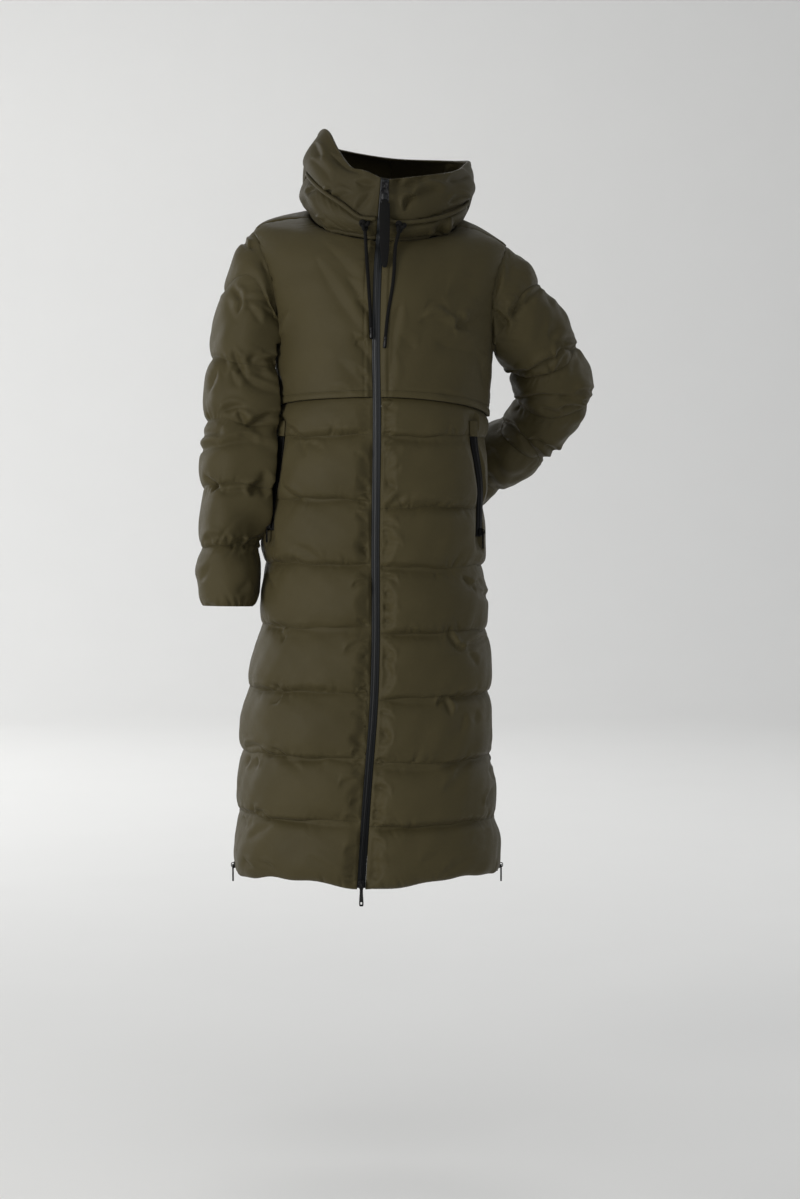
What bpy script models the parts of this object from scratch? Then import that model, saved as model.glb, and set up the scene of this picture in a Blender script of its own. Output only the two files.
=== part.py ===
"""Long hooded puffer coat, hollow and open, in the pose it is worn in.

Metres, +Z up. The front faces -Y and the wearer's right side is -X.
The origin is between the shoulders at the base of the neck, where the wearer carries the coat.
"""

import math

import bmesh
import bpy
import numpy as np
from mathutils import Vector

# ---------------------------------------------------------------- driving sizes
SEAM_INSET = 0.0002          # each piece stops this far short of a seam line
YOKE_LAP_GAP = 0.0008
SEAM_LOFT = 0.001            # padding left right beside the main zip
LINING = 0.003               # wall kept under a stitched line
YOKE_LOFT = 0.005            # even padding of the unquilted yoke
YOKE_LAP = 0.002             # extra thickness of the yoke's folded lower edge
YOKE_LOWER_WAYS = (0.0, 0.35, 0.7)
YOKE_UPPER_LEVELS = (0.80, 0.90, 1.0)
CHANNEL_LOFT_FRONT = 0.014   # how far a quilted channel stands out at front and back
CHANNEL_LOFT_SIDE = 0.008
SLEEVE_LOFT = 0.009
HOOD_FRONT_WALL = 0.012      # padded wall of the funnel round the face
HOOD_BACK_WALL = 0.004       # the pouch behind hangs in a thin fold
HOOD_POUCH_POWER = 1.8       # how fast the fold deepens from the sides to the middle of the back
COLLAR_LOFT = 0.008
COLLAR_LIFT = 0.0036         # the collar's lower edge stands clear of the sloping yoke
COLLAR_SKIN = 0.003
COLLAR_RISES = (0.0, 0.25, 0.5, 0.75, 1.0)
HOOD_RISES = (0.0, 0.07, 0.15, 0.25, 0.37, 0.5, 0.65, 0.82, 1.0)
HOOD_EDGE_FULLNESS = 0.014   # how far the hood swells out just under its rim
HOOD_FOOT_SPRING = 0.005     # room for the tunnel round the sides and back
ARMPIT_HEIGHT = -0.225
HEM_HEIGHT = -1.075
SECTION_POWER = 0.85         # 1 is an ellipse, less is squarer
ZIP_HALF_WIDTH = 0.0065
ZIP_THICKNESS = 0.0022
ZIP_RIDGE = 0.0008           # coil standing above the tape
ZIP_SINK = 0.0012            # the tape's back lies this far under the seam-level surface
POCKET_ZIP_HALF_WIDTH = 0.0045
POCKET_LIFT = 0.0009
VENT_TOP = -0.886
VENT_HALF_WIDTH = 0.005
CORD_RADIUS = 0.0027
TUNNEL_RADIUS = 0.0027
TUNNEL_SLOT = 0.0037         # room left for the tunnel above and below its middle
TUNNEL_PROUD = 0.001
TUNNEL_END_TURN = 0.01

FRONT = -math.pi / 2

# Body at the stitched lines: half outline on each side, and how far front and back stand out.
BODY_COLUMNS = ("height", "right", "left", "front", "back")
BODY = (
    (-1.075, -0.229, 0.202, -0.176, 0.186),
    (-0.985, -0.224, 0.196, -0.173, 0.182),
    (-0.870, -0.217, 0.188, -0.167, 0.176),
    (-0.745, -0.203, 0.185, -0.160, 0.168),
    (-0.680, -0.188, 0.182, -0.156, 0.164),
    (-0.590, -0.180, 0.175, -0.152, 0.158),
    (-0.505, -0.179, 0.176, -0.150, 0.150),
    (-0.400, -0.168, 0.178, -0.152, 0.146),
    (-0.300, -0.156, 0.183, -0.153, 0.150),
    (-0.225, -0.159, 0.188, -0.150, 0.150),
)

# Stitched lines that part the channels, from the yoke seam down to the hem.
QUILT_RIGHT = (-0.355, -0.456, -0.559, -0.661, -0.764, -0.867, -0.968, HEM_HEIGHT)
QUILT_LEFT = (-0.355, -0.470, -0.565, -0.669, -0.773, -0.877, -0.977, HEM_HEIGHT)
QUILT_BACK = (-0.355, -0.462, -0.562, -0.665, -0.769, -0.872, -0.973, HEM_HEIGHT)
CHANNEL_STEPS = (0.0, 0.2, 0.5, 0.8)
FIRST_CHANNEL_SHARE = 0.6    # the channel that runs on under the yoke's lap
LOFT_POWER = 0.6             # 1 is a half wave, less is a fuller pillow
FRONT_FADE = (0.35, 0.9, 0.12, 0.12, 0.9, 1.0, 1.0, 0.85, 0.0)
FRONT_FADE_UNDER_POCKET = (0.35, 0.9, 1.0, 1.0, 0.9, 1.0, 1.0, 0.85, 0.0)
POCKET_TAIL = 0.035          # the panel lies flat this far under a pocket zip
BACK_FADE = (0.35,) + (1.0,) * 11 + (0.35,)

# Lower edge of the yoke, by the turn about the body in degrees.
YOKE_COLUMNS = ("turn", "height")
YOKE_EDGE = ((-180, -0.306), (-120, -0.296), (-90, -0.294), (-50, -0.303), (0, -0.320),
             (90, -0.300), (180, -0.306))

# Middle of the main zip, which drifts across the front as the coat hangs.
ZIP_COLUMNS = ("height", "across")
ZIP_LINE = ((-1.075, -0.0207), (-0.930, -0.0115), (-0.775, 0.0000), (-0.500, 0.0025),
            (-0.300, 0.0045), (-0.235, 0.0035), (-0.088, 0.0063), (0.045, 0.0174))

# Pocket openings, middle of the zip tape.
POCKET_COLUMNS = ("height", "across")
POCKET_RIGHT = ((-0.514, -0.1646), (-0.477, -0.1646), (-0.445, -0.1605), (-0.408, -0.1539),
                (-0.374, -0.1489), (-0.336, -0.1457))
POCKET_LEFT = ((-0.520, 0.1655), (-0.477, 0.1670), (-0.429, 0.1670), (-0.403, 0.1635),
               (-0.370, 0.1580), (-0.330, 0.1555))
POCKET_FIRST_ROW = 2
POCKET_LAST_ROW = 8

# Sleeve rings: outer and inner edge of the sleeve, its middle in depth and half its depth.
SLEEVE_COLUMNS = ("ring", "out_x", "out_z", "in_x", "in_z", "y", "half_depth")
SLEEVE_RIGHT = (
    (0.0, -0.197, -0.018, -0.166, -0.221, 0.000, 0.066),
    (0.5, -0.226, -0.060, -0.171, -0.228, -0.006, 0.068),
    (1.0, -0.246, -0.118, -0.172, -0.236, -0.012, 0.067),
    (2.0, -0.264, -0.228, -0.168, -0.266, -0.025, 0.062),
    (3.0, -0.272, -0.333, -0.162, -0.345, -0.038, 0.058),
    (4.0, -0.277, -0.437, -0.176, -0.441, -0.050, 0.055),
    (5.0, -0.280, -0.533, -0.190, -0.535, -0.058, 0.052),
    (6.0, -0.279, -0.630, -0.199, -0.631, -0.062, 0.049),
)
SLEEVE_LEFT = (
    (0.0, 0.214, -0.030, 0.196, -0.221, 0.000, 0.066),
    (0.5, 0.240, -0.064, 0.203, -0.228, 0.008, 0.068),
    (1.0, 0.266, -0.103, 0.212, -0.234, 0.020, 0.067),
    (2.0, 0.329, -0.199, 0.230, -0.247, 0.050, 0.062),
    (3.0, 0.357, -0.288, 0.238, -0.290, 0.085, 0.060),
    (4.0, 0.289, -0.383, 0.219, -0.322, 0.130, 0.058),
    (5.0, 0.218, -0.438, 0.156, -0.362, 0.176, 0.054),
    (6.0, 0.134, -0.487, 0.084, -0.405, 0.212, 0.049),
)
SLEEVE_AROUND = 16
SLEEVE_CLEARANCE = 0.003
SLEEVE_HEAD_RINGS = (0.0, 0.25, 0.5, 0.75)
SLEEVE_LAST_RING = 6
SLEEVE_HEAD_INSET = 0.0006   # the sleeve head stops this far inside the armhole edge

# Armhole, a tall oval on the side of the body between armpit and shoulder point.
ARMHOLE_BOTTOM = 0.03
ARMHOLE_TOP = 0.70
ARMHOLE_HALF_TURN = math.radians(24)

# Zip hardware: the slider's block and arch, and the axis its pull hangs on.
SLIDER_DEPTH = 0.004
SLIDER_GAP = 0.0006
ARCH_HALF_WIDTH = 0.0012
ARCH_PROFILE = ((-0.0035, -0.0050), (-0.0088, -0.0040), (-0.0088, 0.0040), (-0.0035, 0.0050),
                (-0.0035, 0.0030), (-0.0072, 0.0024), (-0.0072, -0.0024), (-0.0035, -0.0030))
PULL_AXIS_DEPTH = 0.00545
TOP_SLIDER = (0.0055, 0.0070)     # half width and half length of each slider block
HEM_SLIDER = (0.0050, 0.0065)
SMALL_SLIDER = (0.0040, 0.0055)
PULL_THICKNESS = 0.0014
STRAP_THICKNESS = 0.0024

# Outlines of the pulls from the axis down: height, half width, half width of the opening.
SMALL_PULL = ((0.001, 0.0027, 0), (-0.001, 0.0027, 0.0017), (-0.0062, 0.0027, 0.0017),
              (-0.0080, 0.0018, 0), (-0.0180, 0.0018, 0), (-0.0260, 0.0023, 0), (-0.0275, 0.0015, 0))
HEM_PULL = ((0.001, 0.0032, 0), (-0.001, 0.0032, 0.0017), (-0.0062, 0.0032, 0.0017),
            (-0.0085, 0.0024, 0), (-0.0250, 0.0034, 0), (-0.0275, 0.0036, 0.0014),
            (-0.0315, 0.0036, 0.0014), (-0.0345, 0.0026, 0))
TOP_PULL = ((0.001, 0.0046, 0), (-0.001, 0.0046, 0.0017), (-0.0062, 0.0046, 0.0017),
            (-0.0090, 0.0070, 0), (-0.0120, 0.0070, 0.0052), (-0.0225, 0.0070, 0.0052),
            (-0.0255, 0.0064, 0))
STRAP = ((-0.0258, 0.0070, 0), (-0.0300, 0.0085, 0), (-0.0900, 0.0080, 0), (-0.1180, 0.0055, 0),
         (-0.1270, 0.0036, 0), (-0.1290, 0.0020, 0))
TOP_SLIDER_HEIGHT = 0.040
BOTTOM_SLIDER_HEIGHT = -1.068
VENT_SLIDER_HEIGHT = -1.064
POCKET_SLIDER_RISE = 0.008

# Drawcords: route from under the knot to the metal tip, by hand.
KNOT_RADIUS = 0.005
AGLET_RADIUS = 0.0031
AGLET_LENGTH = 0.019
CORD_RIGHT = ((-0.0145, -0.1335, -0.0256), (-0.0130, -0.1345, -0.050), (-0.0115, -0.1375, -0.075),
              (-0.0090, -0.1472, -0.110), (-0.0062, -0.1522, -0.151), (-0.0048, -0.1542, -0.1835))
CORD_LEFT = ((0.0405, -0.1392, -0.0288), (0.0345, -0.1392, -0.052), (0.0330, -0.1405, -0.070),
             (0.0318, -0.1457, -0.095), (0.0288, -0.1506, -0.123), (0.0218, -0.1543, -0.165),
             (0.0184, -0.1553, -0.198))
CORD_STEP = 0.013

# Neck seam and tunnel seam: middle, reach across, reach in depth, and how each one slopes.
NECK = {"x": 0.014, "y": -0.014, "z": -0.006, "across": 0.118, "depth": 0.100,
        "back_rise": 0.040, "left_rise": -0.006, "side_rise": 0.0}
TUNNEL = {"x": 0.0225, "y": -0.018, "z": 0.0285, "across": 0.1315, "depth": 0.116,
          "back_rise": 0.0415, "left_rise": -0.022, "side_rise": 0.0295}

# Hood rim, by the turn about the neck in degrees.
RING_COLUMNS = ("turn", "x", "y", "z")
HOOD_RIM = (
    (-90, 0.016, -0.138, 0.051),
    (-60, 0.075, -0.119, 0.060),
    (-30, 0.128, -0.071, 0.073),
    (0, 0.156, 0.005, 0.096),
    (40, 0.128, 0.085, 0.108),
    (90, 0.026, 0.122, 0.117),
    (140, -0.070, 0.088, 0.130),
    (180, -0.101, 0.010, 0.135),
    (205, -0.078, -0.058, 0.143),
    (235, -0.040, -0.104, 0.106),
    (255, -0.012, -0.130, 0.070),
    (270, 0.016, -0.138, 0.051),
)
HOOD_TURNS = 15


# ---------------------------------------------------------------- tables and curves
def read_table(rows, columns, name, place):
    """Smooth value of one named column at a place along the table's first column."""
    keys = np.array([row[0] for row in rows], dtype=float)
    values = np.array([row[columns.index(name)] for row in rows], dtype=float)
    slopes = np.gradient(values, keys)
    place = min(max(place, keys[0]), keys[-1])
    i = min(max(int(np.searchsorted(keys, place)) - 1, 0), len(keys) - 2)
    span = keys[i + 1] - keys[i]
    t = (place - keys[i]) / span
    start = values[i] * (1 + 2 * t) * (1 - t) ** 2 + slopes[i] * span * t * (1 - t) ** 2
    end = values[i + 1] * t * t * (3 - 2 * t) + slopes[i + 1] * span * t * t * (t - 1)
    return float(start + end)


def ease(value, start, end):
    """0 before start, 1 after end, smooth between."""
    t = min(max((value - start) / (end - start), 0.0), 1.0)
    return t * t * (3 - 2 * t)


def bezier(a, b, c, d, t):
    return a * (1 - t) ** 3 + 3 * b * t * (1 - t) ** 2 + 3 * c * t * t * (1 - t) + d * t ** 3


def wrap_degrees(turn, low):
    return (math.degrees(turn) - low) % 360 + low


# ---------------------------------------------------------------- body surface
def body_section(turn, height):
    """Level ring of the body at a height up to the armpit."""
    right = read_table(BODY, BODY_COLUMNS, "right", height)
    left = read_table(BODY, BODY_COLUMNS, "left", height)
    c = math.cos(turn)
    s = math.sin(turn)
    depth = read_table(BODY, BODY_COLUMNS, "back" if s > 0 else "front", height)
    x = (right + left) / 2 + (left - right) / 2 * math.copysign(abs(c) ** SECTION_POWER, c)
    y = abs(depth) * math.copysign(abs(s) ** SECTION_POWER, s)
    return Vector((x, y, height))


def sloping_ring(ring, turn):
    """Point of a neck seam: an ellipse that rises to the back, to the left and at both sides."""
    c = math.cos(turn)
    s = math.sin(turn)
    height = ring["z"] + ring["back_rise"] * s + ring["left_rise"] * c + ring["side_rise"] * c * c
    return Vector((ring["x"] + ring["across"] * c, ring["y"] + ring["depth"] * s, height))


def body(turn, level):
    """Body surface: a level at or under 0 is metres below the armpit, 0 to 1 runs on to the neck."""
    if level <= 0:
        return body_section(turn, ARMPIT_HEIGHT + level)
    foot = body_section(turn, ARMPIT_HEIGHT)
    top = sloping_ring(NECK, turn)
    side = abs(math.cos(turn))
    low = foot + Vector((0, 0, 0.08 + 0.045 * side))
    shoulder = Vector((math.copysign(0.162 * side ** 3, math.cos(turn)),
                       0.028 * math.sin(turn), -0.034 + 0.027 * side))
    return bezier(foot, low, top + shoulder, top, level)


def collar_band(turn, rise):
    """Padded band that stands up from the neck seam."""
    foot = sloping_ring(NECK, turn) + Vector((0, 0, YOKE_LOFT + COLLAR_LIFT))
    top = sloping_ring(TUNNEL, turn) - Vector((0, 0, TUNNEL_SLOT))
    outward = Vector((math.cos(turn), math.sin(turn), 0))
    flat = 1 - 0.8 * max(-math.sin(turn), 0.0) ** 6
    bulge = COLLAR_LOFT * (0.55 - 0.45 * math.sin(turn)) * flat * math.sin(math.pi * rise)
    return foot.lerp(top, rise) + outward * bulge


def hood_rim(turn):
    place = wrap_degrees(turn, -90)
    return Vector([read_table(HOOD_RIM, RING_COLUMNS, axis, place) for axis in "xyz"])


def hood(turn, rise):
    """Hood lying open: a funnel round the face in front, a hanging pouch behind."""
    c = math.cos(turn)
    back = max(math.sin(turn), 0.0) ** HOOD_POUCH_POWER
    flat = 1 - 0.8 * max(-math.sin(turn), 0.0) ** 3
    outward = Vector((c, math.sin(turn), 0))
    spring = HOOD_FOOT_SPRING * ease(math.sin(turn), -0.4, 0.1)
    foot = sloping_ring(TUNNEL, turn) + outward * spring
    foot = foot + Vector((0, HOOD_FOOT_SPRING * back, TUNNEL_SLOT))
    rim = hood_rim(turn)
    full = (HOOD_EDGE_FULLNESS + 0.012 * abs(c)) * flat
    low = foot + outward * full + Vector((0, 0.09 * back, 0.014 - 0.44 * back))
    high = rim + outward * HOOD_EDGE_FULLNESS * flat + Vector((0, 0.16 * back, -0.018))
    return bezier(foot, low, high, rim, rise)


def surface_normal(surface, turn, level):
    step = 0.002
    across = surface(turn + step, level) - surface(turn - step, level)
    up = surface(turn, level + step) - surface(turn, level - step)
    return across.cross(up).normalized()


def turn_where(surface, across, level):
    """Turn on the front half of a surface at which it lies at a given distance across."""
    low = -math.pi + 0.05
    high = -0.05
    for _ in range(40):
        middle = (low + high) / 2
        if surface(middle, level).x < across:
            low = middle
        else:
            high = middle
    return (low + high) / 2


def zip_edge(surface, level, side):
    """Turn of a front edge that stops beside the zip tape, side -1 for the wearer's right."""
    height = surface(FRONT, level).z
    across = read_table(ZIP_LINE, ZIP_COLUMNS, "across", height)
    return turn_where(surface, across + side * ZIP_HALF_WIDTH, level)


def level_of(height):
    return height - ARMPIT_HEIGHT


def side_turn(depth, height, front):
    """Turn from the side seam line at which the wall lies a given depth from it."""
    reach = abs(read_table(BODY, BODY_COLUMNS, "front" if front else "back", height))
    return math.asin((depth / reach) ** (1 / SECTION_POWER))


# ---------------------------------------------------------------- solids
def material(name, colour, roughness, metallic=0.0):
    made = bpy.data.materials.get(name)
    if made is None:
        made = bpy.data.materials.new(name)
        made.use_nodes = True
        shader = made.node_tree.nodes["Principled BSDF"]
        shader.inputs["Base Color"].default_value = (*colour, 1.0)
        shader.inputs["Roughness"].default_value = roughness
        shader.inputs["Metallic"].default_value = metallic
    return made


def shell_cloth():
    return material("shell_cloth", (0.055, 0.046, 0.025), 0.62)


def zip_tape():
    return material("zip_tape", (0.02, 0.02, 0.019), 0.45)


def black_cord():
    return material("black_cord", (0.011, 0.0105, 0.0095), 0.7)


def dark_metal():
    return material("dark_metal", (0.12, 0.12, 0.12), 0.35, 1.0)


def add_object(name, shape, finish, smooth=True):
    """Put a bmesh in the scene as a named object with outward faces."""
    bmesh.ops.recalc_face_normals(shape, faces=shape.faces)
    mesh = bpy.data.meshes.new(name)
    shape.to_mesh(mesh)
    shape.free()
    if smooth:
        mesh.shade_smooth()
        mesh.set_sharp_from_angle(angle=math.radians(45))
    mesh.materials.append(finish)
    made = bpy.data.objects.new(name, mesh)
    bpy.context.scene.collection.objects.link(made)
    return made


def wall(name, outer, inner, finish):
    """Closed wall between two grids of points."""
    rows = len(outer)
    columns = len(outer[0])
    shape = bmesh.new()
    out = [[shape.verts.new(point) for point in row] for row in outer]
    back = [[shape.verts.new(point) for point in row] for row in inner]
    for i in range(rows - 1):
        for j in range(columns - 1):
            k = j + 1
            shape.faces.new((out[i][j], out[i][k], out[i + 1][k], out[i + 1][j]))
            shape.faces.new((back[i][j], back[i + 1][j], back[i + 1][k], back[i][k]))
    # Edge faces are triangles cut the same way, so that two pieces meet flat along a seam.
    for j in range(columns - 1):
        k = j + 1
        for edge in (0, -1):
            shape.faces.new((out[edge][j], out[edge][k], back[edge][k]))
            shape.faces.new((out[edge][j], back[edge][k], back[edge][j]))
    for i in range(rows - 1):
        for edge in (0, -1):
            shape.faces.new((out[i][edge], out[i + 1][edge], back[i + 1][edge]))
            shape.faces.new((out[i][edge], back[i + 1][edge], back[i][edge]))
    return add_object(name, shape, finish)


def inset_edges(grid):
    """Draw the four edges of a grid of points in, to leave room at the seams."""
    for row in grid:
        row[0] = row[0] + (row[1] - row[0]).normalized() * SEAM_INSET
        row[-1] = row[-1] + (row[-2] - row[-1]).normalized() * SEAM_INSET
    for edge, beside in ((0, 1), (-1, -2)):
        pairs = list(zip(grid[edge], grid[beside]))
        grid[edge] = [point + (near - point).normalized() * SEAM_INSET for point, near in pairs]


def even_lining(_turn):
    return LINING


def hood_lining(turn):
    """Thickness of the hood's wall: padded in front, thin where the pouch folds behind."""
    return HOOD_FRONT_WALL + (HOOD_BACK_WALL - HOOD_FRONT_WALL) * ease(math.sin(turn), -0.6, 0.1)


def surface_wall(name, surface, places, lofts, lining, finish):
    """Wall on a surface: places are (turn, level) grids, lofts how far the outside stands out."""
    outer = []
    inner = []
    for place_row, loft_row in zip(places, lofts):
        normals = [surface_normal(surface, turn, level) for turn, level in place_row]
        points = [surface(turn, level) for turn, level in place_row]
        outer.append([p + n * loft for p, n, loft in zip(points, normals, loft_row)])
        inner.append([p - n * lining(turn) for p, n, (turn, _) in zip(points, normals, place_row)])
    inset_edges(outer)
    inset_edges(inner)
    wall(name, outer, inner, finish)
    return outer


def spread(start, end, count):
    return [start + (end - start) * i / (count - 1) for i in range(count)]


# ---------------------------------------------------------------- quilted lower body
def yoke_height(turn):
    return read_table(YOKE_EDGE, YOKE_COLUMNS, "height", wrap_degrees(turn, -180))


def quilt_rows(lines):
    """Rows of the quilted wall as (line above, line below, way between them)."""
    rows = [(None, lines[0], 0.0), (None, lines[0], 0.5)]
    for above, below in zip(lines, lines[1:]):
        rows += [(above, below, step) for step in CHANNEL_STEPS]
    rows.append((lines[-2], lines[-1], 1.0))
    return rows


def row_height(row, turn):
    above, below, way = row
    top = yoke_height(turn) - YOKE_LAP_GAP if above is None else above
    return top + (below - top) * way


def channel_loft(row, turn):
    """Height of the padding in a channel, fuller at front and back than at the sides."""
    full = CHANNEL_LOFT_SIDE + (CHANNEL_LOFT_FRONT - CHANNEL_LOFT_SIDE) * abs(math.sin(turn))
    share = FIRST_CHANNEL_SHARE if row[0] is None else 1.0
    return full * share * math.sin(math.pi * row[2]) ** LOFT_POWER


def side_edge(height, front):
    depth = VENT_HALF_WIDTH if height < VENT_TOP + 0.025 else 0.0
    return side_turn(depth, height, front)


def front_panel(name, side, lines, pocket):
    """Quilted front, side -1 for the wearer's right; two columns run beside the pocket zip."""
    places = []
    lofts = []
    for row in quilt_rows(lines):
        height = row_height(row, FRONT + side * 0.8)
        level = level_of(height)
        across = read_table(pocket, POCKET_COLUMNS, "across", height)
        outer_pocket = turn_where(body, across + side * POCKET_ZIP_HALF_WIDTH, level)
        inner_pocket = turn_where(body, across - side * POCKET_ZIP_HALF_WIDTH, level)
        edge = side_edge(height, True)
        seam = -math.pi + edge if side < 0 else -edge
        turns = spread(seam, outer_pocket, 3) + spread(inner_pocket, zip_edge(body, level, side), 6)
        places.append([(turn, level_of(row_height(row, turn))) for turn in turns])
        under = height < pocket[0][0] - POCKET_TAIL
        fade = FRONT_FADE_UNDER_POCKET if under else FRONT_FADE
        lofts.append([channel_loft(row, turn) * part for turn, part in zip(turns, fade)])
    return surface_wall(name, body, places, lofts, even_lining, shell_cloth())


def back_panel():
    rows = quilt_rows(QUILT_BACK)
    places = []
    lofts = []
    for row in rows:
        edge = side_edge(row_height(row, math.pi / 2), False)
        turns = spread(edge, math.pi - edge, len(BACK_FADE))
        places.append([(turn, level_of(row_height(row, turn))) for turn in turns])
        lofts.append([channel_loft(row, turn) * part for turn, part in zip(turns, BACK_FADE)])
    surface_wall("back_quilted_panel", body, places, lofts, even_lining, shell_cloth())


# ---------------------------------------------------------------- yoke and armholes
def armhole_levels():
    middle = (ARMHOLE_TOP + ARMHOLE_BOTTOM) / 2
    half = (ARMHOLE_TOP - ARMHOLE_BOTTOM) / 2
    steps = SLEEVE_AROUND // 2
    return [middle - half * math.cos(math.pi * i / steps) for i in range(steps + 1)]


def armhole_turn(level):
    """Half the turn that the armhole takes up at a level, from the side seam line."""
    middle = (ARMHOLE_TOP + ARMHOLE_BOTTOM) / 2
    half = (ARMHOLE_TOP - ARMHOLE_BOTTOM) / 2
    inside = 1 - ((level - middle) / half) ** 2
    return ARMHOLE_HALF_TURN * math.sqrt(max(inside, 0.0))


def yoke_levels():
    below = [("below", way) for way in YOKE_LOWER_WAYS]
    beside = [("above", level) for level in armhole_levels()]
    return below + beside + [("above", level) for level in YOKE_UPPER_LEVELS]


def yoke_level(row, turn):
    kind, value = row
    if kind == "above":
        return value
    edge = level_of(yoke_height(turn))
    return edge * (1 - value)


def yoke_loft(row):
    kind, value = row
    return YOKE_LOFT if kind == "above" or value > 0 else YOKE_LOFT + YOKE_LAP


def front_yoke(name, side):
    places = []
    lofts = []
    for row in yoke_levels():
        middle_level = yoke_level(row, FRONT)
        opening = armhole_turn(middle_level) if row[0] == "above" else 0.0
        seam = -math.pi + opening if side < 0 else -opening
        turns = spread(seam, zip_edge(body, middle_level, side), 8)
        places.append([(turn, yoke_level(row, turn)) for turn in turns])
        lofts.append([yoke_loft(row)] * 7 + [SEAM_LOFT])
    surface_wall(name, body, places, lofts, even_lining, shell_cloth())


def back_yoke():
    places = []
    lofts = []
    for row in yoke_levels():
        level = yoke_level(row, math.pi / 2)
        opening = armhole_turn(level) if row[0] == "above" else 0.0
        turns = spread(opening, math.pi - opening, 13)
        places.append([(turn, yoke_level(row, turn)) for turn in turns])
        lofts.append([yoke_loft(row)] * 13)
    surface_wall("back_yoke", body, places, lofts, even_lining, shell_cloth())


# ---------------------------------------------------------------- sleeves
def armhole_point(side, around):
    """Point on the armhole edge; around is -90 degrees at the armpit and 90 at the shoulder."""
    middle = (ARMHOLE_TOP + ARMHOLE_BOTTOM) / 2
    half = (ARMHOLE_TOP - ARMHOLE_BOTTOM) / 2
    level = middle + half * math.sin(around)
    lean = ARMHOLE_HALF_TURN * math.cos(around)
    turn = math.pi + lean if side < 0 else -lean
    return body(turn, level) + surface_normal(body, turn, level) * YOKE_LOFT


def sleeve_frame(table, ring):
    """Outer edge, inner edge and middle of a sleeve ring."""
    value = {name: read_table(table, SLEEVE_COLUMNS, name, ring) for name in SLEEVE_COLUMNS[1:]}
    outer = Vector((value["out_x"], value["y"], value["out_z"]))
    inner = Vector((value["in_x"], value["y"], value["in_z"]))
    return outer, inner, value["half_depth"]


def plain_sleeve_point(table, ring, around):
    outer, inner, half_depth = sleeve_frame(table, ring)
    step = 0.05
    ahead = sum(sleeve_frame(table, ring + step)[:2], Vector())
    behind = sum(sleeve_frame(table, ring - step)[:2], Vector())
    run = (ahead - behind).normalized()
    middle = (outer + inner) / 2
    reach = (outer - inner) / 2
    forward = run.cross(reach).normalized()
    if forward.y > 0:
        forward = -forward
    return middle + reach * math.sin(around) + forward * (half_depth * math.cos(around))


def clear_of_body(point, clearance):
    """Move a point of a sleeve out of the body's side, level, until it just clears it."""
    if point.z > ARMPIT_HEIGHT + 0.02:
        return point
    height = min(point.z, ARMPIT_HEIGHT)
    right = read_table(BODY, BODY_COLUMNS, "right", height) - CHANNEL_LOFT_SIDE - clearance
    left = read_table(BODY, BODY_COLUMNS, "left", height) + CHANNEL_LOFT_SIDE + clearance
    reach = read_table(BODY, BODY_COLUMNS, "back" if point.y > 0 else "front", height)
    reach = abs(reach) + CHANNEL_LOFT_FRONT + clearance
    middle = (left + right) / 2
    across = (point.x - middle) / ((left - right) / 2)
    along = point.y / reach
    power = 2 / SECTION_POWER
    inside = abs(across) ** power + abs(along) ** power
    if inside >= 1:
        return point
    grow = inside ** (-1 / power)
    return Vector((middle + (point.x - middle) * grow, point.y * grow, point.z))


def sleeve(name, side, table, first_degrees):
    """Half of a quilted sleeve, front or back, from the armhole to the open cuff."""
    around = [math.radians(first_degrees + 360 * j / SLEEVE_AROUND)
              for j in range(SLEEVE_AROUND // 2 + 1)]
    rings = list(SLEEVE_HEAD_RINGS)
    for seam in range(1, SLEEVE_LAST_RING):
        rings += [seam + step for step in CHANNEL_STEPS]
    rings.append(float(SLEEVE_LAST_RING))
    outer = []
    inner = []
    for ring in rings:
        way = ring % 1.0
        loft = SLEEVE_LOFT * math.sin(math.pi * way) ** LOFT_POWER
        blend = 1 - ease(ring, 0.0, 1.6)
        centre = sum(sleeve_frame(table, ring)[:2], Vector()) / 2
        out_row = []
        in_row = []
        for turn in around:
            base = plain_sleeve_point(table, ring, turn)
            start = armhole_point(side, turn) - plain_sleeve_point(table, 0.0, turn)
            base = base + start * blend
            away = (base - centre).normalized()
            crowd = 0.35 + 0.65 * ease(math.sin(turn), -1.0, 0.2)
            lift = loft * (crowd if ring < 2 else 1.0)
            inset = SLEEVE_HEAD_INSET if ring == 0.0 else 0.0
            point = base + away * (lift - inset)
            if ring > 0.0:
                point = clear_of_body(point, SLEEVE_CLEARANCE)
            out_row.append(point)
            in_row.append(point - away * (LINING + lift * 0.9 + 0.001))
        outer.append(out_row)
        inner.append(in_row)
    inset_edges(outer)
    inset_edges(inner)
    wall(name, outer, inner, shell_cloth())


# ---------------------------------------------------------------- collar and hood
def collar():
    places = []
    for rise in COLLAR_RISES:
        left_edge = zip_edge(collar_band, rise, 1)
        right_edge = zip_edge(collar_band, rise, -1) + 2 * math.pi
        turns = spread(left_edge, 0.0, 11) + spread(0.0, math.pi, 13)[1:]
        turns += spread(math.pi, right_edge, 11)[1:]
        places.append([(turn, rise) for turn in turns])
    lofts = [[COLLAR_SKIN] * len(row) for row in places]
    surface_wall("collar_band", collar_band, places, lofts, even_lining, shell_cloth())


def hood_halves():
    """Two halves that meet along the middle of the back."""
    back = math.pi / 2
    left = [spread(zip_edge(hood, rise, 1), back, HOOD_TURNS) for rise in HOOD_RISES]
    right = [spread(back, zip_edge(hood, rise, -1) + 2 * math.pi, HOOD_TURNS)
             for rise in HOOD_RISES]
    for name, turns in (("hood_left", left), ("hood_right", right)):
        places = [[(turn, rise) for turn in row] for row, rise in zip(turns, HOOD_RISES)]
        lofts = [[0.0] * HOOD_TURNS for _ in HOOD_RISES]
        surface_wall(name, hood, places, lofts, hood_lining, shell_cloth())


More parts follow.
